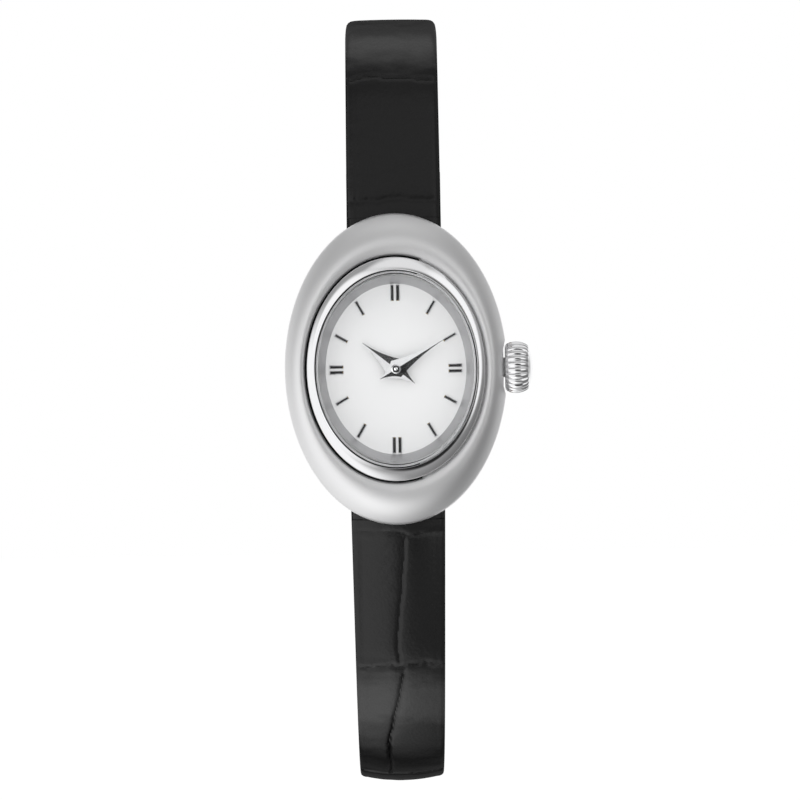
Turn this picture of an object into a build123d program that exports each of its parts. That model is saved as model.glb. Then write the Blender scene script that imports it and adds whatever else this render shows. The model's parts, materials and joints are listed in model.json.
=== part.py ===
"""An oval wristwatch: puffed steel case, two leaf hands, fluted crown and a leather strap.

The strap hangs open: the short half carries the pin buckle and its two keepers, the long half its holes.
Millimetres. The origin is the middle of the case back's outer face, +Y points into the wrist, +Z to twelve
o'clock and +X to the crown. Heights are measured from the case back towards the dial, along -Y.
"""

import math
import os

from build123d import *

# Case
case_half_width = 11.75
case_half_length = 16.48
case_back_height = 0.7
case_widest_height = 3.4
case_crest_height = 7.0
case_lip_height = 6.4
groove_half_width = 9.6
groove_half_length = 12.0
groove_floor_height = 5.8
crest_share = 0.62
underside_inset_share = 0.2

# Bezel ring, crystal and dial opening
ring_gap = 0.08
bezel_top_height = 7.25
bezel_edge_height = 6.9
bezel_rim_width = 0.06
crystal_half_width = 8.48
crystal_half_length = 10.36
crystal_thickness = 1.25
crystal_bevel = 0.22
crystal_cement_gap = 0.06
crystal_floor = 0.2
dial_opening_half_width = 7.42
dial_opening_half_length = 9.0
dial_ring_rim = 0.22

# Dial
dial_half_width = 8.5
dial_half_length = 10.1
dial_face_height = 4.7
dial_thickness = 0.4
dial_play = 0.12

# Applied hour markers
marker_outer_half_width = 7.0
marker_outer_half_length = 8.9
marker_inner_half_width = 5.55
marker_inner_half_length = 7.2
marker_width = 0.34
marker_height = 0.2
marker_pair_pitch = 0.62
marker_chamfer = 0.08

# Hands
minute_hand_length = 5.92
minute_hand_tail = 2.0
minute_hand_half_width = 1.0
minute_hand_angle = 58.9
hour_hand_length = 4.5
hour_hand_tail = 2.5
hour_hand_half_width = 1.28
hour_hand_angle = 308.5
hand_thickness = 0.22
hand_edge_thickness = 0.07
hand_point_half_width = 0.04
hand_boss_radius = 0.44
hand_stack_gap = 0.12
hour_hand_height = 5.0
hand_waist_along_share = 0.4
hand_waist_width_share = 0.4
hand_tail_along_share = 0.4
hand_tail_width_share = 0.42

# Movement
movement_half_width = 6.5
movement_radius = 7.55
plate_low_height = 2.95
plate_high_height = 3.7
bridge_low_height = 1.5
bridge_thickness = 0.35
bridge_pillar_radius = 0.55
fit_gap = 0.01
running_clearance = 0.05
axial_clearance = 0.06
holder_wall_gap = 0.12
screw_radius = 0.3
screw_head_radius = 0.5
screw_head_height = 0.25
screw_depth = 0.9

# Motion work under the dial, and the going train above the bridge
motion_module = 0.125
cannon_teeth = 8
minute_wheel_teeth = 24
minute_pinion_teeth = 6
hour_wheel_teeth = 24
setting_wheel_teeth = 14
setting_wheel_x = 2.95
motion_wheel_thickness = 0.18
centre_module = 0.082
centre_wheel_teeth = 30
intermediate_pinion_teeth = 6
rotor_module = 0.058
intermediate_wheel_teeth = 36
rotor_pinion_teeth = 6
train_wheel_thickness = 0.12
centre_wheel_height = 2.3
intermediate_wheel_height = 2.0
intermediate_angle = -75.0
rotor_angle = -150.0
arbor_radius = 0.24
hour_pipe_wall = 0.1
pivot_radius = 0.07
rotor_magnet_radius = 0.6
rotor_magnet_height = 0.5
tooth_tip_share = 0.22
tooth_addendum_share = 0.9
tooth_dedendum_share = 1.25

# Motor, circuit and cell
stator_hole_radius = 0.72
stator_ring_radius = 1.0
stator_height = 2.55
stator_thickness = 0.3
stator_leg_width = 1.1
stator_bar_z = -2.4
coil_z = -5.25
coil_half_length = 3.1
coil_radius = 0.85
coil_height = 2.3
coil_core_width = 0.9
coil_core_thickness = 0.4
coil_core_half_length = 4.3
board_thickness = 0.15
board_low_height = 1.2
board_edge_z = -4.4
quartz_length = 4.4
quartz_radius = 0.6
quartz_x = 4.4
quartz_z = 3.3
quartz_height = 2.25
chip_size = 1.0
chip_thickness = 0.45
chip_z = -6.7
cell_radius = 2.9
cell_thickness = 2.1
cell_x = -3.1
cell_z = 3.1
cell_low_height = 1.2
cell_clearance = 0.1
clip_thickness = 0.15
clip_width = 1.0
clip_foot = (-4.0, -1.0)
screw_places = ((2.4, 4.3), (5.35, -2.6), (-5.3, -1.6))

# Stem and crown
crown_pull = 0.5
stem_height = 3.0
stem_radius = 0.42
stem_square = 0.56
stem_pilot_radius = 0.2
stem_pilot_x = 2.7
stem_square_x = 3.5
stem_journal_x = 5.25
stem_neck_x = 7.2
stem_neck_radius = 0.34
stem_groove_x = 5.6
stem_groove_width = 0.36
stem_groove_depth = 0.18
stem_end_reach = 1.85
sliding_pinion_x = 4.62
sliding_pinion_length = 0.85
sliding_pinion_radius = 0.72
sliding_pinion_teeth = 10
sliding_pinion_tooth_depth = 0.14
sliding_pinion_groove_width = 0.24
sliding_pinion_groove_depth = 0.16
keyless_plate_thickness = 0.2
keyless_plate_height = 3.76
lever_post_z = -2.3
lever_pin_radius = 0.13
lever_width = 0.8
lever_tail = (4.95, -1.3)
yoke_post_z = 2.5
yoke_pin_radius = 0.1
yoke_pin_z = 0.68
yoke_width = 0.5
yoke_head_width = 0.8
post_radius = 0.25
tube_radius = 1.05
tube_wall = 0.35
tube_inner_gap = 0.2
tube_reach = 0.75
crown_inset = 0.25
crown_length = 3.0
crown_radius = 2.78
crown_inner_radius = 2.35
crown_end_radius = 2.4
crown_profile_shares = (0.0, 0.25, 0.68, 1.0)
crown_rib_end_share = 0.84
crown_cap_radius = 2.1
crown_cap_shares = ((0.88, 0.45), (0.62, 0.8), (0.3, 0.96))
crown_ribs = 24
crown_flute_depth = 0.2
crown_rib_tip_share = 0.45
crown_bore_radius = 1.45
crown_bore_depth = 1.3
crown_seat_radius = 2.95
crown_seat_gap = 0.15
crown_gasket_inset = 0.1
crown_gasket_width = 0.28
crown_gasket_play = 0.02

# Case back
back_half_width = 9.6
back_half_length = 10.95
cavity_half_width = 8.2
cavity_half_length = 9.8
back_plug_height = 0.98
back_plug_gap = 0.06
holder_low_height = 1.7
holder_high_height = 3.6
back_chamfer = 0.2
back_notch_width = 3.0
back_notch_depth = 0.35

# Strap bars in the case
bar_inset = 3.18
bar_height = 2.0
bar_radius = 0.75
bar_bore_radius = 0.45
bar_pin_radius = 0.4
bar_pin_reach = 0.75
bar_end_play = 0.15
strap_side_play = 0.2
strap_end_radius = 1.5
strap_pocket_gap = 0.3

# Strap, as runs of (length or turn, bend radius) from the bar; thickness and width change along it
strap_width_lug = 10.0
strap_width_buckle = 8.0
strap_bulge_share = 0.12
lining_thickness = 0.7
glue_gap = 0.06
lining_inset = 0.1
lining_end_gap = 2.6
upper_thickness_shares = ((0.0, 1.0), (0.1, 0.8), (0.3, 0.74), (0.75, 0.68), (1.0, 0.68))
upper_width_shares = ((0.0, 1.0), (0.33, 0.85), (0.78, 0.0), (1.0, 0.0))
lower_thickness_shares = ((0.0, 1.0), (0.07, 0.8), (0.2, 0.72), (0.5, 0.62), (1.0, 0.56))
lower_width_shares = ((0.0, 1.0), (0.62, 0.0), (1.0, 0.0))
upper_first_angle = 6.0
upper_runs = ((15.2, 11.0), (16.1, 82.5), (25.0, 45.0), (17.0, 0.0))
lower_first_angle = 4.0
lower_runs = ((15.7, 10.0), (26.3, 81.0), (46.0, 63.0), (20.0, 0.0))
strap_station_turn = 10.5
strap_station_spacing = 9.0
strap_hole_radius = 0.75
strap_hole_count = 5
strap_hole_pitch = 6.0
strap_first_hole = 22.0
strap_tip_length = 4.6
strap_tip_bulge_shares = (0.3, 0.3)

# Keepers
keeper_thickness = 0.8
keeper_side_gap = 0.25
keeper_room = 2.05
fixed_keeper_width = 3.6
free_keeper_width = 4.4
fixed_keeper_back = 4.8
free_keeper_back = 10.2
keeper_seat_gap = 0.15
keeper_fillet = 0.5

# Buckle
buckle_bar_radius = 0.55
buckle_bar_bore_radius = 0.34
buckle_pin_radius = 0.3
buckle_pin_reach = 0.8
buckle_pin_gap = 0.05
buckle_side_gap = 0.35
buckle_arm_width = 1.25
buckle_arm_back = 1.1
buckle_length = 8.2
buckle_rail = 1.4
buckle_thickness = 1.4
buckle_corner = 1.6
tongue_width = 1.5
tongue_slot_gap = 0.25
tongue_slot_length = 2.3
tongue_ring_radius = 1.02
tongue_thickness = 0.6
tongue_overhang = 0.2
tongue_notch_depth = 0.3

# Everything that cuts right through runs past the piece by this much
overrun = 1.0

# Pins, arbors and holes thinner than this radius are drawn with flats, to keep the facets few
small_round_radius = 0.81
small_round_sides = 12
strap_hole_sides = 16

dial_plane = Plane.XZ
bar_y = -bar_height
bar_z = case_half_length - bar_inset

# Places along the stem's line that follow the case
tube_inner_x = cavity_half_width + tube_inner_gap
tube_outer_x = case_half_width + tube_reach
crown_inner_x = case_half_width - crown_inset
crown_gasket_x = case_half_width - crown_gasket_inset
stem_end_x = case_half_width + stem_end_reach


def station(height):
    """The plane square to the dial axis, at a height above the case back's outer face."""
    return dial_plane.offset(height)


def export(part, name):
    """Names a finished piece and writes it to its own file."""
    part.label = name
    export_step(part, os.path.join("parts", name + ".step"))


def polar(radius, degrees):
    """A point in the dial plane, anticlockwise from three o'clock."""
    return (radius * math.cos(math.radians(degrees)), radius * math.sin(math.radians(degrees)))


def elliptical_radius(half_width, half_length, degrees):
    """How far an ellipse lies from its centre, at an angle from twelve o'clock."""
    across = math.sin(math.radians(degrees)) / half_width
    along = math.cos(math.radians(degrees)) / half_length
    return 1 / math.hypot(across, along)


def tooth_outline(centre, teeth, module, phase):
    """The corners of a wheel's toothed rim, anticlockwise: the gap's bottom and the tooth's two tips."""
    tip = module * (teeth / 2 + tooth_addendum_share)
    root = module * (teeth / 2 - tooth_dedendum_share)
    pitch = 360 / teeth
    corners = []
    for tooth in range(teeth):
        middle = phase + tooth * pitch
        for radius, share in ((root, -1), (tip, -tooth_tip_share), (tip, tooth_tip_share)):
            corner = polar(radius, middle + share * pitch / 2)
            corners.append((centre[0] + corner[0], centre[1] + corner[1]))
    return corners


def meshing_phase(direction, first_teeth, first_phase, second_teeth):
    """The phase that puts the second wheel's gap on the first wheel's tooth, seen from first to second."""
    first = (direction - first_phase) * first_teeth / 360
    return direction + 180 - (0.5 - first) * 360 / second_teeth


def toothed_disc(centre, low, thickness, teeth, module, phase):
    """Adds a toothed wheel to the part being built, square to the dial."""
    with BuildSketch(station(low)) as rim:
        with BuildLine():
            Polyline(*tooth_outline(centre, teeth, module, phase), close=True)
        make_face()
    extrude(rim.sketch, amount=thickness)


def round_face(radius, hole=False, mode=Mode.ADD, turned=False):
    """A circle in the sketch being drawn, or a polygon about as wide where it is small and nothing turns
    on it. A hole's flats clear the pin."""
    if radius < small_round_radius and not turned:
        RegularPolygon(radius, small_round_sides, major_radius=not hole, mode=mode)
    else:
        Circle(radius, mode=mode)


def round_hole(radius):
    """A round hole in the sketch being drawn."""
    round_face(radius, hole=True, mode=Mode.SUBTRACT)


def disc(centre, low, high, radius, mode=Mode.ADD, turned=False):
    """Adds or cuts a round boss or arbor between two heights, in the part being built."""
    with BuildSketch(station(low)) as boss:
        with Locations(centre):
            round_face(radius, hole=mode == Mode.SUBTRACT, turned=turned)
    extrude(boss.sketch, amount=high - low, mode=mode)


os.makedirs("parts", exist_ok=True)

# Case body
# The outside is lofted through ovals: round under the case, widest a third of the way up, then over a crest
# and down to the lip round the bezel ring.
dome_height = case_crest_height - case_widest_height
lip_drop = case_crest_height - case_lip_height
underside_height = case_widest_height - case_back_height


def body_oval(inset_share):
    """Half width and half length of the case, a share of the way in from the widest oval to the lip."""
    return (
        case_half_width - inset_share * (case_half_width - groove_half_width),
        case_half_length - inset_share * (case_half_length - groove_half_length),
    )


body_sections = []
for quarter_share in (1.0, 0.45):
    turn = math.radians(90 * quarter_share)
    inset_share = underside_inset_share * (1 - math.cos(turn))
    body_sections.append((inset_share, case_widest_height - underside_height * quarter_share))
for quarter_share in (0.0, 0.25, 0.5, 0.75, 1.0):
    turn = math.radians(90 * quarter_share)
    body_sections.append(
        (crest_share * (1 - math.cos(turn)), case_widest_height + dome_height * math.sin(turn))
    )
for fall_share in (0.55, 1.0):
    inset_share = crest_share + (1 - crest_share) * fall_share
    body_sections.append((inset_share, case_crest_height - lip_drop * fall_share**2))

bezel_half_width = groove_half_width - ring_gap
bezel_half_length = groove_half_length - ring_gap
crystal_opening = (crystal_half_width + crystal_cement_gap, crystal_half_length + crystal_cement_gap)
dial_back_height = dial_face_height - dial_thickness
dial_bore = (dial_half_width + dial_play, dial_half_length + dial_play)
pocket_half_width = strap_width_lug / 2 + strap_side_play
pocket_radius = strap_end_radius + strap_pocket_gap
crown_seat_x = crown_inner_x - crown_seat_gap

with BuildPart() as case_body:
    for inset_share, height in body_sections:
        with BuildSketch(station(height)):
            Ellipse(*body_oval(inset_share))
    loft(ruled=True)
    # Seat of the bezel ring, then the bore down to the dial and the movement's room behind it
    with BuildSketch(station(groove_floor_height)):
        Ellipse(groove_half_width, groove_half_length)
    extrude(amount=case_crest_height, mode=Mode.SUBTRACT)
    with BuildSketch(station(dial_back_height)):
        Ellipse(*dial_bore)
    extrude(amount=case_crest_height, mode=Mode.SUBTRACT)
    with BuildSketch(station(0)):
        Ellipse(cavity_half_width, cavity_half_length)
    extrude(amount=dial_back_height, mode=Mode.SUBTRACT)
    # Pockets for the strap ends, open to the back and the ends, with the bar holes in their side walls
    for side in (1, -1):
        with BuildSketch(Plane.YZ):
            with Locations((bar_y, side * bar_z)):
                Circle(pocket_radius)
            with Locations((bar_y - pocket_radius, side * bar_z)):
                Rectangle(
                    pocket_radius + bar_height + overrun,
                    case_half_length,
                    align=(Align.MIN, Align.MIN if side > 0 else Align.MAX),
                )
            with Locations((bar_y, side * bar_z)):
                Rectangle(bar_height + overrun, 2 * pocket_radius, align=(Align.MIN, Align.CENTER))
        extrude(amount=pocket_half_width, both=True, mode=Mode.SUBTRACT)
        with BuildSketch(Plane.YZ):
            with Locations((bar_y, side * bar_z)):
                round_face(bar_pin_radius + running_clearance, hole=True)
        extrude(amount=pocket_half_width + bar_pin_reach, both=True, mode=Mode.SUBTRACT)
    # Flat seat and bore for the crown and its tube
    with BuildSketch(Plane.YZ.offset(crown_seat_x)):
        with Locations((-stem_height, 0)):
            Circle(crown_seat_radius)
    extrude(amount=crown_length, mode=Mode.SUBTRACT)
    with BuildSketch(Plane.YZ):
        with Locations((-stem_height, 0)):
            Circle(tube_radius)
    extrude(amount=case_half_width, mode=Mode.SUBTRACT)
export(case_body.part, "case_body")

# Bezel ring and crystal
crystal_seat_height = groove_floor_height + crystal_floor
bezel_rim = (crystal_opening[0] + bezel_rim_width, crystal_opening[1] + bezel_rim_width)
with BuildPart() as bezel_ring:
    with BuildSketch(station(groove_floor_height)):
        Ellipse(bezel_half_width, bezel_half_length)
    with BuildSketch(station(bezel_edge_height)):
        Ellipse(bezel_half_width, bezel_half_length)
    with BuildSketch(station(bezel_top_height)):
        Ellipse(*bezel_rim)
    loft(ruled=True)
    with BuildSketch(station(groove_floor_height)):
        Ellipse(*crystal_opening)
    extrude(amount=bezel_top_height, mode=Mode.SUBTRACT)
export(bezel_ring.part, "bezel_ring")

crystal_bevel_height = crystal_seat_height + crystal_thickness - crystal_bevel
with BuildPart() as crystal:
    for height, inset in (
        (crystal_seat_height, 0),
        (crystal_bevel_height, 0),
        (crystal_bevel_height + crystal_bevel, crystal_bevel),
    ):
        with BuildSketch(station(height)):
            Ellipse(crystal_half_width - inset, crystal_half_length - inset)
    loft(ruled=True)
export(crystal.part, "crystal")

# Dial ring, dial and hour markers
dial_ring_top_height = groove_floor_height - axial_clearance
dial_ring_outer = (dial_bore[0] - running_clearance, dial_bore[1] - running_clearance)
with BuildPart() as dial_ring:
    with BuildSketch(station(dial_face_height)):
        Ellipse(*dial_ring_outer)
    extrude(amount=dial_ring_top_height - dial_face_height)
    with BuildSketch(station(dial_face_height)):
        Ellipse(dial_opening_half_width, dial_opening_half_length)
    with BuildSketch(station(dial_ring_top_height)):
        Ellipse(dial_ring_outer[0] - dial_ring_rim, dial_ring_outer[1] - dial_ring_rim)
    loft(ruled=True, mode=Mode.SUBTRACT)
export(dial_ring.part, "dial_ring")

cannon_radius = arbor_radius
hour_pipe_bore = cannon_radius + running_clearance
hour_pipe_radius = hour_pipe_bore + hour_pipe_wall
with BuildPart() as dial:
    with BuildSketch(station(dial_back_height)):
        Ellipse(dial_half_width, dial_half_length)
        round_hole(hour_pipe_radius + running_clearance)
    extrude(amount=dial_thickness)
export(dial.part, "dial")

with BuildPart() as hour_markers:
    for hour in range(12):
        turn = 30 * hour
        reach = elliptical_radius(marker_outer_half_width, marker_outer_half_length, turn)
        start = elliptical_radius(marker_inner_half_width, marker_inner_half_length, turn)
        offsets = (-marker_pair_pitch / 2, marker_pair_pitch / 2) if hour % 3 == 0 else (0,)
        with BuildSketch(station(dial_face_height)):
            with Locations(Location((0, 0), -turn)):
                for aside in offsets:
                    with Locations((aside, (start + reach) / 2)):
                        Rectangle(marker_width, reach - start)
        extrude(amount=marker_height)
    tops = hour_markers.faces().group_by(Axis.Y)[0]
    chamfer(tops.edges(), marker_chamfer)
export(hour_markers.part, "hour_markers")

# Hands
# Each is a four-pointed leaf with hollow edges and a ridge along its middle, on a round boss.


def leaf_hand(length, tail, half_width, clock_angle, low, bore):
    """A hand that points at a clock angle in degrees, with its underside at a height."""
    fall = math.atan2(hand_thickness - hand_edge_thickness, half_width)
    turn = math.radians(clock_angle)
    plane = Plane((0, -low, 0), x_dir=(math.cos(turn), 0, -math.sin(turn)), z_dir=(0, -1, 0))
    with BuildPart() as hand:
        with BuildSketch(plane):
            with BuildLine() as outline:
                ThreePointArc(
                    (hand_point_half_width, length),
                    (half_width * hand_waist_width_share, length * hand_waist_along_share),
                    (half_width, 0),
                )
                ThreePointArc(
                    (half_width, 0),
                    (half_width * hand_tail_width_share, -tail * hand_tail_along_share),
                    (hand_point_half_width, -tail),
                )
                mirror(outline.line, about=Plane.YZ)
                Line((hand_point_half_width, length), (-hand_point_half_width, length))
                Line((hand_point_half_width, -tail), (-hand_point_half_width, -tail))
            make_face()
        extrude(amount=hand_thickness)
        # The two facets fall away from the ridge
        for side in (1, -1):
            outward = side * math.sin(fall)
            facet = Plane(
                plane.offset(hand_thickness).origin,
                x_dir=plane.x_dir * math.cos(fall) - plane.z_dir * outward,
                z_dir=plane.z_dir * math.cos(fall) + plane.x_dir * outward,
            )
            with BuildSketch(facet):
                with Locations((side * length / 2, (length - tail) / 2)):
                    Rectangle(length, length + tail + overrun)
            extrude(amount=hand_thickness, mode=Mode.SUBTRACT)
        with BuildSketch(plane):
            Circle(hand_boss_radius)
        extrude(amount=hand_thickness)
        with BuildSketch(plane):
            round_face(bore, hole=True)
        extrude(amount=hand_thickness, mode=Mode.SUBTRACT)
    return hand.part


minute_hand_height = hour_hand_height + hand_thickness + hand_stack_gap
export(
    leaf_hand(
        hour_hand_length,
        hour_hand_tail,
        hour_hand_half_width,
        hour_hand_angle,
        hour_hand_height,
        hour_pipe_radius,
    ),
    "hour_hand",
)
export(
    leaf_hand(
        minute_hand_length,
        minute_hand_tail,
        minute_hand_half_width,
        minute_hand_angle,
        minute_hand_height,
        cannon_radius,
    ),
    "minute_hand",
)

# Places of the wheels
# The minute wheel reaches both the cannon pinion at the middle and the setting wheel on the stem's line.
motion_distance = motion_module * (cannon_teeth + minute_wheel_teeth) / 2
setting_distance = motion_module * (minute_wheel_teeth + setting_wheel_teeth) / 2
minute_wheel_x = (motion_distance**2 - setting_distance**2 + setting_wheel_x**2) / (2 * setting_wheel_x)
minute_wheel_z = math.sqrt(motion_distance**2 - minute_wheel_x**2)
minute_wheel_at = (minute_wheel_x, minute_wheel_z)
setting_at = (setting_wheel_x, 0)
hour_module = motion_module * (cannon_teeth + minute_wheel_teeth) / (hour_wheel_teeth + minute_pinion_teeth)
to_minute_wheel = math.degrees(math.atan2(minute_wheel_z, minute_wheel_x))
to_setting_wheel = math.degrees(math.atan2(-minute_wheel_z, setting_wheel_x - minute_wheel_x))
centre_distance = centre_module * (centre_wheel_teeth + intermediate_pinion_teeth) / 2
rotor_distance = rotor_module * (intermediate_wheel_teeth + rotor_pinion_teeth) / 2
intermediate_at = polar(centre_distance, intermediate_angle)
rotor_step = polar(rotor_distance, rotor_angle)
rotor_at = (intermediate_at[0] + rotor_step[0], intermediate_at[1] + rotor_step[1])

cannon_phase = to_minute_wheel
minute_wheel_phase = meshing_phase(to_minute_wheel, cannon_teeth, cannon_phase, minute_wheel_teeth)
hour_wheel_phase = to_minute_wheel
minute_pinion_phase = meshing_phase(
    to_minute_wheel, hour_wheel_teeth, hour_wheel_phase, minute_pinion_teeth
)
setting_phase = meshing_phase(
    to_setting_wheel, minute_wheel_teeth, minute_wheel_phase, setting_wheel_teeth
)
centre_phase = intermediate_angle
intermediate_pinion_phase = meshing_phase(
    intermediate_angle, centre_wheel_teeth, centre_phase, intermediate_pinion_teeth
)
intermediate_phase = rotor_angle
rotor_phase = meshing_phase(rotor_angle, intermediate_wheel_teeth, intermediate_phase, rotor_pinion_teeth)

# Motion work: cannon pinion, hour wheel, minute wheel and setting wheel
motion_low_height = plate_high_height + axial_clearance
hour_wheel_height = motion_low_height + motion_wheel_thickness + axial_clearance
cannon_top_height = minute_hand_height + hand_thickness
bridge_high_height = bridge_low_height + bridge_thickness
with BuildPart() as cannon_pinion:
    disc((0, 0), bridge_high_height, cannon_top_height, cannon_radius)
    toothed_disc(
        (0, 0), motion_low_height, motion_wheel_thickness, cannon_teeth, motion_module, cannon_phase
    )
export(cannon_pinion.part, "cannon_pinion")

with BuildPart() as centre_wheel:
    toothed_disc(
        (0, 0), centre_wheel_height, train_wheel_thickness, centre_wheel_teeth, centre_module, centre_phase
    )
    disc(
        (0, 0), centre_wheel_height, centre_wheel_height + train_wheel_thickness, cannon_radius, Mode.SUBTRACT
    )
export(centre_wheel.part, "centre_wheel")

with BuildPart() as hour_wheel:
    toothed_disc(
        (0, 0), hour_wheel_height, motion_wheel_thickness, hour_wheel_teeth, hour_module, hour_wheel_phase
    )
    disc((0, 0), hour_wheel_height, hour_hand_height + hand_thickness, hour_pipe_radius)
    disc((0, 0), hour_wheel_height, hour_hand_height + hand_thickness, hour_pipe_bore, Mode.SUBTRACT)
export(hour_wheel.part, "hour_wheel")

with BuildPart() as minute_wheel:
    toothed_disc(
        minute_wheel_at,
        motion_low_height,
        motion_wheel_thickness,
        minute_wheel_teeth,
        motion_module,
        minute_wheel_phase,
    )
    toothed_disc(
        minute_wheel_at,
        motion_low_height + motion_wheel_thickness,
        motion_wheel_thickness + axial_clearance,
        minute_pinion_teeth,
        hour_module,
        minute_pinion_phase,
    )
    disc(minute_wheel_at, plate_low_height, motion_low_height, pivot_radius, turned=True)
export(minute_wheel.part, "minute_wheel")

with BuildPart() as setting_wheel:
    toothed_disc(
        setting_at,
        motion_low_height,
        motion_wheel_thickness,
        setting_wheel_teeth,
        motion_module,
        setting_phase,
    )
    disc(
        setting_at,
        motion_low_height,
        motion_low_height + motion_wheel_thickness,
        post_radius + running_clearance,
        Mode.SUBTRACT,
        turned=True,
    )
export(setting_wheel.part, "setting_wheel")

# Going train: intermediate wheel and rotor
pivot_low_height = bridge_low_height + bridge_thickness / 2
pivot_high_height = (plate_low_height + plate_high_height) / 2
with BuildPart() as intermediate_wheel:
    toothed_disc(
        intermediate_at,
        intermediate_wheel_height,
        train_wheel_thickness,
        intermediate_wheel_teeth,
        rotor_module,
        intermediate_phase,
    )
    toothed_disc(
        intermediate_at,
        intermediate_wheel_height + train_wheel_thickness,
        centre_wheel_height + 2 * train_wheel_thickness - intermediate_wheel_height - train_wheel_thickness,
        intermediate_pinion_teeth,
        centre_module,
        intermediate_pinion_phase,
    )
    disc(intermediate_at, pivot_low_height, pivot_high_height, pivot_radius, turned=True)
export(intermediate_wheel.part, "intermediate_wheel")

rotor_pinion_low = intermediate_wheel_height - axial_clearance
rotor_magnet_low = stator_height + stator_thickness / 2 - rotor_magnet_height / 2
with BuildPart() as rotor:
    toothed_disc(
        rotor_at,
        rotor_pinion_low,
        train_wheel_thickness + 2 * axial_clearance,
        rotor_pinion_teeth,
        rotor_module,
        rotor_phase,
    )
    disc(rotor_at, rotor_magnet_low, rotor_magnet_low + rotor_magnet_height, rotor_magnet_radius)
    disc(rotor_at, pivot_low_height, pivot_high_height, pivot_radius)
export(rotor.part, "rotor")

# Main plate, bridge, screws and holder
channel_half_width = sliding_pinion_radius + holder_wall_gap
stem_block_x = stem_journal_x - axial_clearance
block_low_height = stem_height - stem_radius - post_radius
lever_pin_x = stem_groove_x + stem_groove_width / 2
lever_post = (lever_pin_x + crown_pull / 2, lever_post_z)
yoke_post = (sliding_pinion_x - crown_pull / 2, yoke_post_z)
keyless_top_height = keyless_plate_height + keyless_plate_thickness
cell_room = cell_radius + cell_clearance
coil_room = coil_radius + cell_clearance

with BuildPart() as main_plate:
    with BuildSketch(station(plate_low_height)):
        Circle(movement_radius)
        Rectangle(2 * movement_half_width, 2 * movement_radius, mode=Mode.INTERSECT)
    extrude(amount=plate_high_height - plate_low_height)
    # Pillars that carry the bridge, and the block that guides the stem
    for place in screw_places:
        disc(place, bridge_high_height, plate_low_height, bridge_pillar_radius)
    with BuildSketch(station(block_low_height)):
        with Locations((stem_block_x, 0)):
            Rectangle(
                movement_half_width - stem_block_x, 2 * channel_half_width, align=(Align.MIN, Align.CENTER)
            )
    extrude(amount=plate_low_height - block_low_height)
    # Posts for the setting wheel, the setting lever and the yoke
    for post in (setting_at, lever_post, yoke_post):
        disc(post, plate_high_height, keyless_top_height, post_radius)
    # Room for the cell, the coil, the sliding pinion and the stem
    disc((cell_x, cell_z), 0, cell_low_height + cell_thickness + cell_clearance, cell_room, Mode.SUBTRACT)
    with BuildSketch(Plane.YZ):
        with Locations((-coil_height, coil_z)):
            Circle(coil_room)
    extrude(amount=movement_radius, both=True, mode=Mode.SUBTRACT)
    channel_x = setting_wheel_x + post_radius + 2 * running_clearance
    with BuildSketch(station(plate_low_height)):
        with Locations((channel_x, 0)):
            Rectangle(stem_block_x - channel_x, 2 * channel_half_width, align=(Align.MIN, Align.CENTER))
    extrude(amount=plate_high_height, mode=Mode.SUBTRACT)
    with BuildSketch(Plane.YZ.offset(stem_pilot_x - axial_clearance)):
        with Locations((-stem_height, 0)):
            round_face(stem_pilot_radius + running_clearance, hole=True)
    extrude(amount=movement_half_width, mode=Mode.SUBTRACT)
    with BuildSketch(Plane.YZ.offset(channel_x)):
        with Locations((-stem_height, 0)):
            round_face(stem_radius + running_clearance, hole=True)
    extrude(amount=movement_half_width, mode=Mode.SUBTRACT)
    with BuildSketch(station(stem_height)):
        with Locations((stem_groove_x - axial_clearance, 0)):
            Rectangle(movement_half_width, 4 * lever_pin_radius, align=(Align.MIN, Align.CENTER))
    extrude(amount=plate_high_height, mode=Mode.SUBTRACT)
    # Pivot holes and screw holes
    for pivot in (intermediate_at, rotor_at):
        disc(pivot, 0, pivot_high_height + axial_clearance, pivot_radius + running_clearance, Mode.SUBTRACT)
    disc(
        minute_wheel_at, plate_low_height, case_crest_height, pivot_radius + running_clearance, Mode.SUBTRACT
    )
    disc((0, 0), 0, case_crest_height, cannon_radius + running_clearance, Mode.SUBTRACT)
    for place in screw_places:
        disc(place, 0, bridge_low_height + screw_depth + axial_clearance, screw_radius, Mode.SUBTRACT)
export(main_plate.part, "main_plate")

bridge_reach = movement_radius - screw_head_radius
bridge_gap = 3 * cell_clearance
with BuildPart() as train_bridge:
    with BuildSketch(station(bridge_low_height)):
        Circle(bridge_reach)
        Rectangle(2 * (movement_half_width - bridge_thickness), 2 * bridge_reach, mode=Mode.INTERSECT)
        with Locations((cell_x, cell_z)):
            Circle(cell_radius + bridge_gap, mode=Mode.SUBTRACT)
        with Locations((0, coil_z + coil_radius + cell_clearance)):
            Rectangle(
                2 * movement_radius, movement_radius, align=(Align.CENTER, Align.MAX), mode=Mode.SUBTRACT
            )
        with Locations((quartz_x, quartz_z)):
            Rectangle(2 * quartz_radius + bridge_gap, quartz_length + bridge_gap, mode=Mode.SUBTRACT)
        with Locations(intermediate_at, rotor_at):
            round_hole(pivot_radius + running_clearance)
        with Locations(*screw_places):
            round_hole(screw_radius + running_clearance)
    extrude(amount=bridge_thickness)
export(train_bridge.part, "train_bridge")

with BuildPart() as movement_screws:
    for place in screw_places:
        disc(place, bridge_low_height, bridge_low_height + screw_depth, screw_radius)
        disc(place, bridge_low_height - screw_head_height, bridge_low_height, screw_head_radius)
export(movement_screws.part, "movement_screws")

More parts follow.
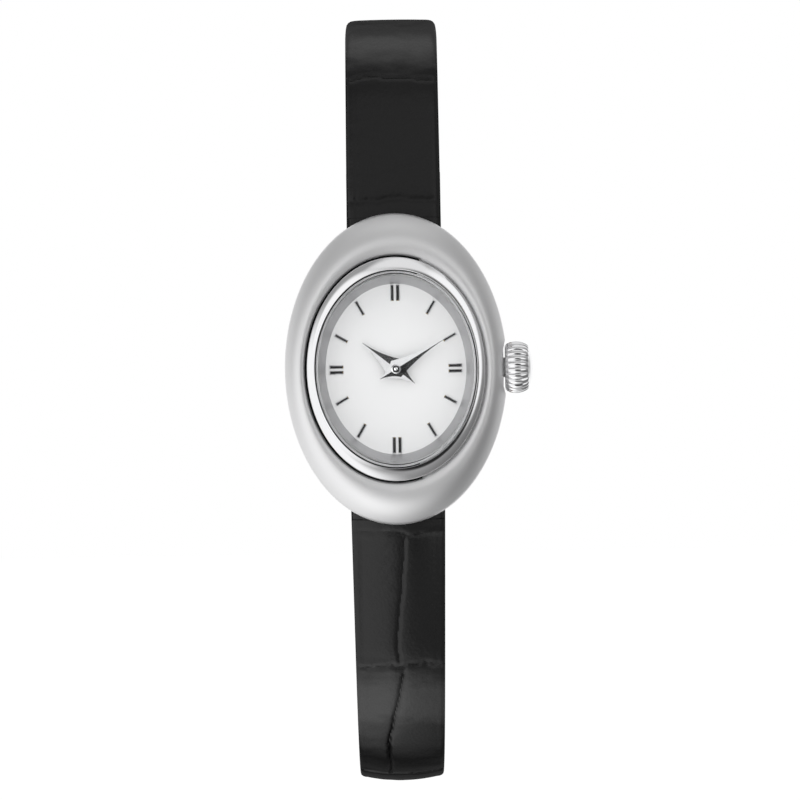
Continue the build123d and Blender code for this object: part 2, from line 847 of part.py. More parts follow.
with BuildPart() as movement_holder:
    with BuildSketch(station(holder_low_height)):
        Ellipse(cavity_half_width - back_plug_gap, cavity_half_length - back_plug_gap)
        Rectangle(2 * cavity_half_width, 2 * (bar_z - pocket_radius - holder_wall_gap), mode=Mode.INTERSECT)
    extrude(amount=holder_high_height - holder_low_height)
    with BuildSketch(station(holder_low_height)):
        Circle(movement_radius + holder_wall_gap)
        Rectangle(2 * (movement_half_width + holder_wall_gap), 3 * movement_radius, mode=Mode.INTERSECT)
    extrude(amount=holder_high_height, mode=Mode.SUBTRACT)
    with BuildSketch(Plane.YZ):
        with Locations((-stem_height, 0)):
            Rectangle(2 * (stem_radius + holder_wall_gap), 4 * stem_radius)
    extrude(amount=case_half_width, mode=Mode.SUBTRACT)
export(movement_holder.part, "movement_holder")

# Motor: stator, coil core and winding
with BuildPart() as stator:
    with BuildSketch(station(stator_height)):
        with Locations(rotor_at):
            Circle(stator_ring_radius)
        with Locations((0, stator_bar_z)):
            Rectangle(2 * coil_core_half_length, stator_leg_width)
        leg_x = coil_core_half_length - stator_leg_width / 2
        leg_low_z = coil_z - stator_leg_width / 2
        with Locations((-leg_x, leg_low_z), (leg_x, leg_low_z)):
            Rectangle(stator_leg_width, stator_bar_z - leg_low_z, align=(Align.CENTER, Align.MIN))
        with Locations(rotor_at):
            Circle(stator_hole_radius, mode=Mode.SUBTRACT)
    extrude(amount=stator_thickness)
export(stator.part, "stator")

core_low_height = stator_height - coil_core_thickness
with BuildPart() as coil_core:
    with BuildSketch(station(core_low_height)):
        with Locations((0, coil_z)):
            Rectangle(2 * coil_core_half_length, coil_core_width)
    extrude(amount=coil_core_thickness)
export(coil_core.part, "coil_core")

with BuildPart() as coil_winding:
    with BuildSketch(Plane.YZ):
        with Locations((-coil_height, coil_z)):
            Circle(coil_radius)
        with Locations((-(core_low_height + coil_core_thickness / 2), coil_z)):
            Rectangle(
                coil_core_thickness + 2 * fit_gap, coil_core_width + 2 * fit_gap, mode=Mode.SUBTRACT
            )
    extrude(amount=coil_half_length, both=True)
export(coil_winding.part, "coil_winding")

# Circuit board, chip, quartz can, cell and its clip
with BuildPart() as circuit_board:
    with BuildSketch(station(board_low_height)):
        Circle(bridge_reach + bridge_thickness)
        with Locations((0, board_edge_z)):
            Rectangle(
                2 * movement_radius, movement_radius, align=(Align.CENTER, Align.MAX), mode=Mode.INTERSECT
            )
    extrude(amount=board_thickness)
export(circuit_board.part, "circuit_board")

with BuildPart() as circuit_chip:
    with BuildSketch(station(board_low_height + board_thickness)):
        with Locations((0, chip_z)):
            Rectangle(2 * chip_size, chip_size)
    extrude(amount=chip_thickness)
export(circuit_chip.part, "circuit_chip")

with BuildPart() as quartz_can:
    with BuildSketch(Plane.XY.offset(quartz_z - quartz_length / 2)):
        with Locations((quartz_x, -quartz_height)):
            round_face(quartz_radius)
    extrude(amount=quartz_length)
export(quartz_can.part, "quartz_can")

with BuildPart() as cell:
    disc((cell_x, cell_z), cell_low_height, cell_low_height + cell_thickness, cell_radius)
export(cell.part, "cell")

clip_low_height = cell_low_height - clip_thickness
with BuildPart() as cell_clip:
    with BuildSketch(station(clip_low_height)):
        SlotCenterPoint(((cell_x + clip_foot[0]) / 2, (cell_z + clip_foot[1]) / 2), clip_foot, clip_width)
    extrude(amount=clip_thickness)
    disc(clip_foot, cell_low_height, bridge_low_height, clip_width / 2)
export(cell_clip.part, "cell_clip")

# Stem, sliding pinion, setting lever and yoke
with BuildPart() as stem:
    for from_x, to_x, radius in (
        (stem_pilot_x, stem_square_x, stem_pilot_radius),
        (stem_journal_x, stem_neck_x, stem_radius),
        (stem_neck_x, stem_end_x, stem_neck_radius),
    ):
        with BuildSketch(Plane.YZ.offset(from_x)):
            with Locations((-stem_height, 0)):
                round_face(radius)
        extrude(amount=to_x - from_x)
    with BuildSketch(Plane.YZ.offset(stem_square_x)):
        with Locations((-stem_height, 0)):
            Rectangle(stem_square, stem_square)
    extrude(amount=stem_journal_x - stem_square_x)
    with BuildSketch(Plane.YZ.offset(stem_groove_x)):
        with Locations((-stem_height, 0)):
            Circle(stem_radius + running_clearance)
            round_hole(stem_radius - stem_groove_depth)
    extrude(amount=stem_groove_width, mode=Mode.SUBTRACT)
export(stem.part, "stem")

pinion_low_x = sliding_pinion_x - sliding_pinion_length / 2
with BuildPart() as sliding_pinion:
    with BuildSketch(Plane.YZ.offset(pinion_low_x)):
        with Locations((-stem_height, 0)):
            round_face(sliding_pinion_radius)
            Rectangle(
                stem_square + 2 * running_clearance, stem_square + 2 * running_clearance, mode=Mode.SUBTRACT
            )
    extrude(amount=sliding_pinion_length)
    with BuildSketch(Plane.YZ.offset(sliding_pinion_x - sliding_pinion_groove_width / 2)):
        with Locations((-stem_height, 0)):
            Circle(sliding_pinion_radius + running_clearance)
            round_hole(sliding_pinion_radius - sliding_pinion_groove_depth)
    extrude(amount=sliding_pinion_groove_width, mode=Mode.SUBTRACT)
    # Teeth in the inner face, which take the setting wheel when the crown is out
    with BuildSketch(Plane.YZ.offset(pinion_low_x)):
        with Locations((-stem_height, 0)):
            for tooth in range(sliding_pinion_teeth):
                with Locations(Location((0, 0), 360 * tooth / sliding_pinion_teeth)):
                    with Locations((sliding_pinion_radius, 0)):
                        Rectangle(sliding_pinion_radius, sliding_pinion_tooth_depth)
    extrude(amount=sliding_pinion_tooth_depth, mode=Mode.SUBTRACT)
export(sliding_pinion.part, "sliding_pinion")

with BuildPart() as setting_lever:
    with BuildSketch(station(keyless_plate_height)):
        SlotCenterPoint(
            ((lever_post[0] + lever_pin_x) / 2, lever_post_z / 2), lever_post, lever_width
        )
        SlotCenterPoint(
            ((lever_post[0] + lever_tail[0]) / 2, (lever_post_z + lever_tail[1]) / 2),
            lever_post,
            lever_width / 2,
        )
        with Locations(lever_post):
            round_hole(post_radius + running_clearance)
    extrude(amount=keyless_plate_thickness)
    pin_low_height = stem_height + stem_radius - stem_groove_depth + axial_clearance
    disc((lever_pin_x, 0), pin_low_height, keyless_plate_height, lever_pin_radius)
export(setting_lever.part, "setting_lever")

with BuildPart() as yoke:
    with BuildSketch(station(keyless_plate_height)):
        with Locations(yoke_post):
            Circle(yoke_head_width / 2)
        SlotCenterPoint(
            ((yoke_post[0] + sliding_pinion_x) / 2, (yoke_post_z + yoke_pin_z) / 2),
            (sliding_pinion_x, yoke_pin_z),
            yoke_width,
        )
        with Locations(yoke_post):
            round_hole(post_radius + running_clearance)
    extrude(amount=keyless_plate_thickness)
    disc((sliding_pinion_x, yoke_pin_z), stem_height, keyless_plate_height, yoke_pin_radius)
export(yoke.part, "yoke")

# Crown, its tube and gasket
with BuildPart() as crown_tube:
    with BuildSketch(Plane.YZ.offset(tube_inner_x)):
        with Locations((-stem_height, 0)):
            Circle(tube_radius)
            Circle(tube_radius - tube_wall, mode=Mode.SUBTRACT)
    extrude(amount=tube_outer_x - tube_inner_x)
export(crown_tube.part, "crown_tube")

with BuildPart() as crown_gasket:
    with BuildSketch(Plane.YZ.offset(crown_gasket_x)):
        with Locations((-stem_height, 0)):
            Circle(crown_bore_radius - crown_gasket_play)
            Circle(tube_radius + crown_gasket_play, mode=Mode.SUBTRACT)
    extrude(amount=crown_gasket_width)
export(crown_gasket.part, "crown_gasket")


# Radius over the ribs at each of the places along them
crown_profile_radii = (crown_inner_radius, crown_radius, crown_radius, crown_end_radius)


def rib_outline(radius):
    """The corners of the crown's ribbed section, three to a rib. The radius is over the ribs."""
    pitch = 360 / crown_ribs
    root = radius - crown_flute_depth
    corners = []
    for rib in range(crown_ribs):
        for reach, share in ((root, -1), (radius, -crown_rib_tip_share), (radius, crown_rib_tip_share)):
            across, along = polar(reach, (rib + share / 2) * pitch)
            corners.append((across - stem_height, along))
    return corners


crown_outer_x = crown_inner_x + crown_length
rib_end_x = crown_inner_x + crown_rib_end_share * crown_length
crown_cap_height = crown_outer_x - rib_end_x
with BuildPart() as crown:
    for along_share, radius in zip(crown_profile_shares, crown_profile_radii):
        with BuildSketch(Plane.YZ.offset(crown_inner_x + along_share * crown_rib_end_share * crown_length)):
            with BuildLine():
                Polyline(*rib_outline(radius), close=True)
            make_face()
    loft(ruled=True)
    # Smooth domed cap
    with BuildSketch(Plane.XY):
        with BuildLine():
            Polyline(
                (rib_end_x, crown_cap_radius - stem_height),
                *((rib_end_x + crown_cap_height * rise, crown_cap_radius * reach - stem_height)
                  for reach, rise in crown_cap_shares),
                (crown_outer_x, -stem_height),
                (rib_end_x, -stem_height),
                close=True,
            )
        make_face()
    revolve(axis=Axis((0, -stem_height, 0), (1, 0, 0)))
    with BuildSketch(Plane.YZ.offset(crown_inner_x)):
        with Locations((-stem_height, 0)):
            Circle(crown_bore_radius)
    extrude(amount=crown_bore_depth, mode=Mode.SUBTRACT)
    with BuildSketch(Plane.YZ.offset(crown_inner_x)):
        with Locations((-stem_height, 0)):
            round_face(stem_neck_radius + fit_gap, hole=True)
    extrude(amount=stem_end_x + axial_clearance - crown_inner_x, mode=Mode.SUBTRACT)
export(crown.part, "crown")

# Case back
plug_outer = (cavity_half_width - back_plug_gap, cavity_half_length - back_plug_gap)
with BuildPart() as case_back:
    for height, inset in ((0, back_chamfer), (back_chamfer, 0), (case_back_height, 0)):
        with BuildSketch(station(height)):
            Ellipse(back_half_width - inset, back_half_length - inset)
    loft(ruled=True)
    with BuildSketch(station(case_back_height)):
        Ellipse(*plug_outer)
    extrude(amount=back_plug_height - case_back_height)
    # Notch in the rim where a case opener goes in
    with BuildSketch(station(case_back_height - back_notch_depth)):
        with Locations((0, back_half_length)):
            Rectangle(back_notch_width, 2 * back_notch_depth)
    extrude(amount=back_notch_depth, mode=Mode.SUBTRACT)
export(case_back.part, "case_back")


# Spring bars in the case
def spring_bar(y, z, half_length, radius, pin_radius, pin_reach):
    """A round bar across the strap with a thinner pin at each end."""
    with BuildPart() as bar:
        with BuildSketch(Plane.YZ):
            with Locations((y, z)):
                round_face(radius)
        extrude(amount=half_length, both=True)
        with BuildSketch(Plane.YZ):
            with Locations((y, z)):
                round_face(pin_radius)
        extrude(amount=half_length + pin_reach, both=True)
    return bar.part


bar_half_length = pocket_half_width - bar_end_play
export(
    spring_bar(bar_y, bar_z, bar_half_length, bar_radius, bar_pin_radius, bar_pin_reach), "spring_bar_upper"
)
export(
    spring_bar(bar_y, -bar_z, bar_half_length, bar_radius, bar_pin_radius, bar_pin_reach), "spring_bar_lower"
)

# Strap
# Each half follows a line of arcs from its bar round to the back. Its leather and lining are lofted
# through sections square to that line.


def strap_point(side, first_angle, runs, reach):
    """(y, z, turn) of the strap's middle at a distance from its bar, the turn in radians from the dial plane."""
    y, z, turn = bar_y, side * bar_z, math.radians(first_angle)
    for length, bend in runs:
        step = min(reach, length)
        bend_radius = length / math.radians(bend) if bend else 0
        if bend_radius:
            turned = turn + step / bend_radius
            y += bend_radius * (math.cos(turn) - math.cos(turned))
            z += side * bend_radius * (math.sin(turned) - math.sin(turn))
            turn = turned
        else:
            y += step * math.sin(turn)
            z += side * step * math.cos(turn)
        reach -= step
    return y, z, turn


def across_plane(side, first_angle, runs, reach):
    """A plane square to the strap: its normal runs along the strap and its y points away from the wrist."""
    y, z, turn = strap_point(side, first_angle, runs, reach)
    return Plane((0, y, z), x_dir=(-side, 0, 0), z_dir=(0, math.sin(turn), side * math.cos(turn)))


def face_plane(side, first_angle, runs, reach):
    """A plane in the strap's middle, its normal away from the wrist and its y along the strap."""
    y, z, turn = strap_point(side, first_angle, runs, reach)
    return Plane((0, y, z), x_dir=(side, 0, 0), z_dir=(0, -math.cos(turn), side * math.sin(turn)))


def share_at(shares, where):
    """Reads a table of (place, share) between its rows, eased so that the slope has no corners."""
    for (from_place, from_share), (to_place, to_share) in zip(shares, shares[1:]):
        if where <= to_place:
            part = (where - from_place) / (to_place - from_place)
            return from_share + (to_share - from_share) * part
    return shares[-1][1]


def strap_size(shares, widths, where):
    """(thickness, width) of the strap at a share of its length."""
    thickness = 2 * strap_end_radius * share_at(shares, where)
    width = strap_width_buckle + (strap_width_lug - strap_width_buckle) * share_at(widths, where)
    return thickness, width


def strap_stations(runs):
    """Distances of the strap's sections from its bar: even steps in each run, and one by each end."""
    places = [0, lining_end_gap]
    start = 0
    for length, bend in runs:
        count = math.ceil(max(bend / strap_station_turn, length / strap_station_spacing))
        places += [start + length * step / count for step in range(1, count + 1)]
        start += length
    places.insert(-1, start - lining_end_gap)
    return places


upper = (1, upper_first_angle, upper_runs)
lower = (-1, lower_first_angle, lower_runs)
upper_length = sum(length for length, bend in upper_runs)
lower_length = sum(length for length, bend in lower_runs)
upper_end_thickness = strap_size(upper_thickness_shares, upper_width_shares, 1)[0]


def leather_body(strap, total, thicknesses, widths):
    """The outer leather of a half, bulged across, from its bar to its far end."""
    with BuildPart() as leather:
        for reach in strap_stations(strap[2]):
            thickness, width = strap_size(thicknesses, widths, reach / total)
            low = lining_thickness - thickness / 2
            high = thickness / 2
            edge = high - strap_bulge_share * thickness
            with BuildSketch(across_plane(*strap, reach)):
                with BuildLine():
                    Line((-width / 2, edge), (-width / 2, low))
                    Line((-width / 2, low), (width / 2, low))
                    Line((width / 2, low), (width / 2, edge))
                    ThreePointArc((width / 2, edge), (0, high), (-width / 2, edge))
                make_face()
        loft(ruled=True)
    return leather.part


def lining_body(strap, total, end, thicknesses, widths):
    """The inner leather of a half, glued under the outer leather, from near the bar to a given place."""
    with BuildPart() as lining:
        for reach in [place for place in strap_stations(strap[2]) if lining_end_gap <= place <= end]:
            thickness, width = strap_size(thicknesses, widths, reach / total)
            with BuildSketch(across_plane(*strap, reach)):
                with Locations((0, -thickness / 2)):
                    Rectangle(
                        width - 2 * lining_inset,
                        lining_thickness - glue_gap,
                        align=(Align.CENTER, Align.MIN),
                    )
        loft(ruled=True)
    return lining.part


buckle_place = strap_point(*upper, upper_length)
buckle_bore_radius = buckle_bar_radius + running_clearance
with BuildPart() as strap_upper_leather:
    add(leather_body(upper, upper_length, upper_thickness_shares, upper_width_shares))
    with BuildSketch(Plane.YZ):
        with Locations((bar_y, bar_z)):
            Circle(strap_end_radius)
    extrude(amount=strap_width_lug / 2, both=True)
    with BuildSketch(Plane.YZ):
        with Locations((buckle_place[0], buckle_place[1])):
            Circle(upper_end_thickness / 2)
    extrude(amount=strap_width_buckle / 2, both=True)
    with BuildSketch(Plane.YZ):
        with Locations((bar_y, bar_z)):
            round_face(bar_radius + running_clearance, hole=True)
        with Locations((buckle_place[0], buckle_place[1])):
            round_face(buckle_bore_radius, hole=True)
    extrude(amount=strap_width_lug, both=True, mode=Mode.SUBTRACT)
    # Slot that lets the buckle's tongue swing
    with BuildSketch(face_plane(*upper, upper_length)):
        with Locations((0, -tongue_slot_length)):
            Rectangle(
                tongue_width + 2 * tongue_slot_gap,
                2 * tongue_slot_length,
                align=(Align.CENTER, Align.MIN),
            )
    extrude(amount=strap_end_radius, both=True, mode=Mode.SUBTRACT)
export(strap_upper_leather.part, "strap_upper_leather")

export(
    lining_body(
        upper, upper_length, upper_length - lining_end_gap, upper_thickness_shares, upper_width_shares
    ),
    "strap_upper_lining",
)


def lower_half(body):
    """The long half's leather or lining, with its holes punched and its tip cut to a point."""
    tip_plane = face_plane(*lower, lower_length)
    with BuildPart() as half:
        add(body)
        for hole in range(strap_hole_count):
            reach = lower_length - strap_first_hole - hole * strap_hole_pitch
            with BuildSketch(face_plane(*lower, reach)):
                RegularPolygon(strap_hole_radius, strap_hole_sides, major_radius=False)
            extrude(amount=strap_end_radius, both=True, mode=Mode.SUBTRACT)
        half_width = strap_width_buckle / 2
        across, along = strap_tip_bulge_shares
        with BuildSketch(tip_plane):
            with Locations((0, -strap_tip_length)):
                Rectangle(strap_width_lug, strap_tip_length + overrun, align=(Align.CENTER, Align.MIN))
            with BuildLine():
                ThreePointArc(
                    (-half_width, -strap_tip_length),
                    (-half_width * (1 - across), -strap_tip_length * along),
                    (0, 0),
                )
                ThreePointArc(
                    (0, 0),
                    (half_width * (1 - across), -strap_tip_length * along),
                    (half_width, -strap_tip_length),
                )
                Line((half_width, -strap_tip_length), (-half_width, -strap_tip_length))
            make_face(mode=Mode.SUBTRACT)
        extrude(amount=strap_end_radius, both=True, mode=Mode.SUBTRACT)
    return half.part


lower_leather = leather_body(lower, lower_length, lower_thickness_shares, lower_width_shares)
with BuildPart() as strap_lower_leather:
    add(lower_half(lower_leather))
    with BuildSketch(Plane.YZ):
        with Locations((bar_y, -bar_z)):
            Circle(strap_end_radius)
    extrude(amount=strap_width_lug / 2, both=True)
    with BuildSketch(Plane.YZ):
        with Locations((bar_y, -bar_z)):
            round_face(bar_radius + running_clearance, hole=True)
    extrude(amount=strap_width_lug, both=True, mode=Mode.SUBTRACT)
export(strap_lower_leather.part, "strap_lower_leather")
lower_lining = lining_body(lower, lower_length, lower_length, lower_thickness_shares, lower_width_shares)
export(lower_half(lower_lining), "strap_lower_lining")

# Keepers
keeper_half_width = strap_width_buckle / 2 + keeper_side_gap


def keeper(back, width):
    """A leather band round the short half, a distance back from the buckle's bar."""
    low = -upper_end_thickness / 2 - keeper_seat_gap
    high = upper_end_thickness / 2 + keeper_room
    with BuildPart() as band:
        with BuildSketch(across_plane(*upper, upper_length - back)):
            with Locations((0, (low + high) / 2)):
                RectangleRounded(
                    2 * (keeper_half_width + keeper_thickness),
                    high - low + 2 * keeper_thickness,
                    keeper_fillet,
                )
                Rectangle(2 * keeper_half_width, high - low, mode=Mode.SUBTRACT)
        extrude(amount=width / 2, both=True)
    return band.part


export(keeper(fixed_keeper_back, fixed_keeper_width), "fixed_keeper")
export(keeper(free_keeper_back, free_keeper_width), "free_keeper")

# Buckle
buckle_plane = face_plane(*upper, upper_length)
arm_inner_x = strap_width_buckle / 2 + buckle_side_gap
frame_half_width = arm_inner_x + buckle_arm_width
with BuildPart() as buckle_frame:
    with BuildSketch(buckle_plane):
        with Locations((0, (buckle_length - buckle_arm_back) / 2)):
            RectangleRounded(2 * frame_half_width, buckle_length + buckle_arm_back, buckle_corner)
    extrude(amount=buckle_thickness / 2, both=True)
    with BuildSketch(buckle_plane):
        with Locations((0, buckle_length - buckle_rail)):
            Rectangle(2 * arm_inner_x, 2 * buckle_length, align=(Align.CENTER, Align.MAX))
    extrude(amount=buckle_thickness, both=True, mode=Mode.SUBTRACT)
    with BuildSketch(buckle_plane.offset(buckle_thickness / 2)):
        with Locations((0, buckle_length)):
            Rectangle(tongue_width + 2 * tongue_slot_gap, 3 * buckle_rail)
    extrude(amount=-tongue_notch_depth, mode=Mode.SUBTRACT)
    with BuildSketch(Plane.YZ):
        with Locations((buckle_place[0], buckle_place[1])):
            round_face(buckle_pin_radius + buckle_pin_gap, hole=True)
    extrude(amount=arm_inner_x + buckle_pin_reach + fit_gap, both=True, mode=Mode.SUBTRACT)
export(buckle_frame.part, "buckle_frame")

bar_reach = arm_inner_x - buckle_pin_gap
export(
    spring_bar(
        buckle_place[0], buckle_place[1], bar_reach, buckle_bar_radius, buckle_pin_radius, buckle_pin_reach
    ),
    "buckle_bar",
)

tongue_low = tongue_ring_radius - tongue_thickness
with BuildPart() as buckle_tongue:
    with BuildSketch(Plane.YZ):
        with Locations((buckle_place[0], buckle_place[1])):
            Circle(tongue_ring_radius)
    extrude(amount=tongue_width / 2, both=True)
    with BuildSketch(buckle_plane.offset(tongue_low)):
        Rectangle(tongue_width, buckle_length + tongue_overhang, align=(Align.CENTER, Align.MIN))
    extrude(amount=tongue_thickness)
    with BuildSketch(Plane.YZ):
        with Locations((buckle_place[0], buckle_place[1])):
            round_face(buckle_bore_radius, hole=True)
    extrude(amount=tongue_width, both=True, mode=Mode.SUBTRACT)
export(buckle_tongue.part, "buckle_tongue")
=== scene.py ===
# %% [markdown]
# # An oval wristwatch, dressed for its portrait
#
# The machine-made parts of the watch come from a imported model, which is loaded here as a fixed frame.
# This script gives them finishes, and models again whatever needs more softness or detail than a plain
# solid has: the puffed case, the polished ring, the fluted crown, the leather strap with its embossed
# scales. Everything is in metres, the twelve o'clock end is up (+Z) and the wrist is behind the dial
# (+Y).

# %% Load the frame
import json
import math

import bpy
from mathutils import Matrix, Vector


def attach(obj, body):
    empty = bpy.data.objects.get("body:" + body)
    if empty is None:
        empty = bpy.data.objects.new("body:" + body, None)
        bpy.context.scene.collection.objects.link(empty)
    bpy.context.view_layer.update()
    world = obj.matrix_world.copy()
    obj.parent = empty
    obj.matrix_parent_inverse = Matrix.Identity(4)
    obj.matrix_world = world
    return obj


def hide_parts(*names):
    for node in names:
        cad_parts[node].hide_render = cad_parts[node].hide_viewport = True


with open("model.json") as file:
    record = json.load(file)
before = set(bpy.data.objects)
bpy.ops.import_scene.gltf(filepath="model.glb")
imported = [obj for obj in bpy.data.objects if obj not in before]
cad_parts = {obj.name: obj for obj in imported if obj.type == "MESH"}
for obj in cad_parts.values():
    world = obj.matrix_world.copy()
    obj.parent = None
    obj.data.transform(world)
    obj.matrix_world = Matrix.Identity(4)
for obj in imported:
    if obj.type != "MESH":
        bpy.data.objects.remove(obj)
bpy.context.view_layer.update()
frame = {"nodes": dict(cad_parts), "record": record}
bpy.ops.object.select_all(action="DESELECT")
mm = 0.001

# %% [markdown]
# ## The camera
#
# The photograph was taken from far away with a long lens, so both ends of the strap look as wide as they
# are. A camera two and a half metres away gives the same flat look. The watch leans a little to the left
# in the picture, so the camera is rolled instead of the watch.

# %% Camera
pixels_per_mm = 9.45
picture_side = 800
camera_distance = 2.5
camera_roll = math.radians(0.9)
sensor_width = 36
dial_centre_pixel = (396.5, 369.0)
aim_across = (picture_side / 2 - dial_centre_pixel[0]) / pixels_per_mm * mm
aim_up = (dial_centre_pixel[1] - picture_side / 2) / pixels_per_mm * mm

bpy.ops.object.camera_add(
    location=(aim_across, -camera_distance, aim_up), rotation=(math.pi / 2, camera_roll, 0)
)
camera = bpy.context.object
camera.name = "portrait_camera"
camera.data.sensor_width = sensor_width
camera.data.lens = sensor_width * camera_distance / (picture_side / pixels_per_mm * mm)
camera.data.clip_start = 0.1
camera.data.clip_end = 50
bpy.context.scene.camera = camera
print("lens", round(camera.data.lens), "mm")

# %% [markdown]
# ## Writing shaders as sums
#
# A finish is mostly arithmetic on patterns. A small class wraps a node's output so that `+`, `*` and the
# rest add the Math nodes, and one method adds any other node. A finish then reads like a formula.


# %% Shader helpers
class Wire:
    """An output socket that can be used in sums."""

    def __init__(self, recipe, socket):
        self.recipe = recipe
        self.socket = socket

    def __add__(self, other):
        return self.recipe.math("ADD", self, other)

    def __sub__(self, other):
        return self.recipe.math("SUBTRACT", self, other)

    def __rsub__(self, other):
        return self.recipe.math("SUBTRACT", other, self)

    def __mul__(self, other):
        return self.recipe.math("MULTIPLY", self, other)

    __radd__ = __add__
    __rmul__ = __mul__


class Recipe:
    """A material or world whose nodes are added one after another."""

    def __init__(self, owner):
        owner.use_nodes = True
        self.tree = owner.node_tree
        self.tree.nodes.clear()

    def node(self, kind, settings=None, *values, out=0, **named):
        """Adds a node: its settings first, then the values or links of its sockets, in order or by name."""
        made = self.tree.nodes.new("ShaderNode" + kind)
        for setting, value in (settings or {}).items():
            if setting == "stops":
                ramp = made.color_ramp
                while len(ramp.elements) < len(value):
                    ramp.elements.new(1)
                for element, (place, colour) in zip(ramp.elements, value):
                    element.position = place
                    element.color = colour
            else:
                setattr(made, setting, value)
        sockets = [socket for socket in made.inputs if socket.enabled]
        pairs = list(zip(sockets, values))
        pairs += [(made.inputs[name.replace("_", " ")], value) for name, value in named.items()]
        for socket, value in pairs:
            if isinstance(value, Wire):
                self.tree.links.new(value.socket, socket)
            else:
                socket.default_value = value
        if isinstance(out, str):
            return Wire(self, made.outputs[out])
        outputs = [socket for socket in made.outputs if socket.enabled]
        return Wire(self, outputs[out]) if outputs else None

    def math(self, operation, *values):
        return self.node("Math", {"operation": operation}, *values)

    def place(self, scale=(1, 1, 1)):
        """The point being shaded, in metres, stretched for a pattern."""
        here = self.node("TexCoord", out="Object")
        return here if scale == (1, 1, 1) else self.node("Mapping", None, Vector=here, Scale=scale)

    def noise(self, scale, detail=2.0, roughness=0.5, vector=None):
        return self.node(
            "TexNoise", None, Vector=vector or self.place(), Scale=scale, Detail=detail, Roughness=roughness
        )

    def between(self, amount, low, high):
        """A number from low to high as the amount goes from 0 to 1."""
        return amount * (high - low) + low

    def ease(self, value, start, end, low=0.0, high=1.0):
        """A number that goes smoothly from low to high while the value goes from start to end."""
        return self.node("MapRange", {"interpolation_type": "SMOOTHSTEP"}, value, start, end, low, high)

    def tint(self, amount, dark, light):
        """A colour from dark to light as the amount goes from 0 to 1."""
        return self.node("ValToRGB", {"stops": [(0.0, (*dark, 1)), (1.0, (*light, 1))]}, amount)

    def bump(self, height, distance, strength=1.0):
        return self.node("Bump", None, Height=height, Distance=distance, Strength=strength)

    def surface(self, **named):
        return self.node("BsdfPrincipled", None, **named)

    def mix(self, amount, first, second):
        """A shader that goes from the first to the second as the amount goes from 0 to 1."""
        return self.node("MixShader", None, amount, first, second)

    def scattered(self):
        """1 on a path that a matt surface has scattered, 0 where the camera or a mirror looks."""
        return self.math("MINIMUM", self.node("LightPath", out="Diffuse Depth"), 1.0)

    def end(self, shader):
        kind = "OutputWorld" if isinstance(self.tree.id_data, bpy.types.World) else "OutputMaterial"
        self.node(kind, None, Surface=shader)


finishes = {}


def new_finish(name):
    """Starts an empty material, kept under its name, and gives the recipe to fill it."""
    finishes[name] = bpy.data.materials.new(name)
    return Recipe(finishes[name])


print("shader helpers ready")

# %% [markdown]
# ## The studio
#
# The photograph has a pure white ground and soft light. The metal shows where the light stood: a white
# wall to the left, a little below the watch, white cards beside and above the camera, a grey room
# elsewhere, and something dark just right of the camera, which the flat markers and half of each hand
# mirror. A world colour that depends on direction gives the metal those reflections: each card is a
# soft-edged patch of the sky. What the dial and the leather scatter is lit evenly instead, at about full
# white.

# %% World
world = bpy.data.worlds.new("studio")
bpy.context.scene.world = world
studio = Recipe(world)
direction = studio.node("TexCoord", out="Generated")


def card(centre, outer, inner):
    """A soft patch of the sky: 0 beyond the outer angle and 1 within the inner one, both in degrees."""
    aim = tuple(Vector(centre).normalized())
    squarely = studio.node("VectorMath", {"operation": "DOT_PRODUCT"}, direction, aim, out="Value")
    return studio.ease(squarely, math.cos(math.radians(outer)), math.cos(math.radians(inner)))


room_grey, card_white, ambient_level = 0.35, 1.05, 1.08
white_cards = card((-0.75, -0.3, -0.5), 62, 38)
left_card = card((-0.42, -0.9, 0.04), 30, 19)
right_card = card((0.52, -0.83, 0.2), 30, 18)
far_wall = card((0, 1, 0), 60, 35)
upper_card = card((0.08, -0.87, 0.48), 20, 10) * 0.7
for patch in (left_card, right_card, far_wall, upper_card):
    white_cards = studio.math("MAXIMUM", white_cards, patch)
dark_corner = card((0.66, -0.2, -0.7), 60, 20) * 0.16
dark_camera = card((0.17, -0.985, -0.03), 20, 15) * 0.95
softboxes = card((0, 0.12, 0.99), 40, 14) * 0.4 + card((0, -0.3, -0.95), 34, 10) * 0.6
grey_room = room_grey - dark_corner
mirrored = (grey_room + white_cards * (card_white - grey_room)) * (1.0 - dark_camera) + softboxes


def sky(strength):
    return studio.node("Background", None, Color=(1, 1, 1, 1), Strength=strength)


seen_straight = studio.node("LightPath", out="Is Camera Ray")
lit = studio.mix(studio.scattered(), sky(mirrored), sky(ambient_level))
studio.end(studio.mix(seen_straight, lit, sky(1.0)))
world.cycles.sampling_method = "NONE"
print("world ready")


# %% Lamps and floor
def soft_lamp(name, place, target, side, watts):
    """A square lamp that faces a point."""
    bpy.ops.object.light_add(type="AREA", location=place)
    lamp = bpy.context.object
    lamp.name = name
    lamp.data.shape = "SQUARE"
    lamp.data.size = side
    lamp.data.energy = watts
    lamp.rotation_euler = (Vector(target) - Vector(place)).to_track_quat("-Z", "Y").to_euler()
    lamp.visible_glossy = False
    lamp.select_set(False)


soft_lamp("left_softbox", place=(-0.62, -0.4, -0.06), target=(0, 0, 0), side=0.7, watts=2.0)
soft_lamp("top_softbox", place=(0.1, -0.3, 0.9), target=(0, 0.02, 0), side=0.9, watts=1.4)

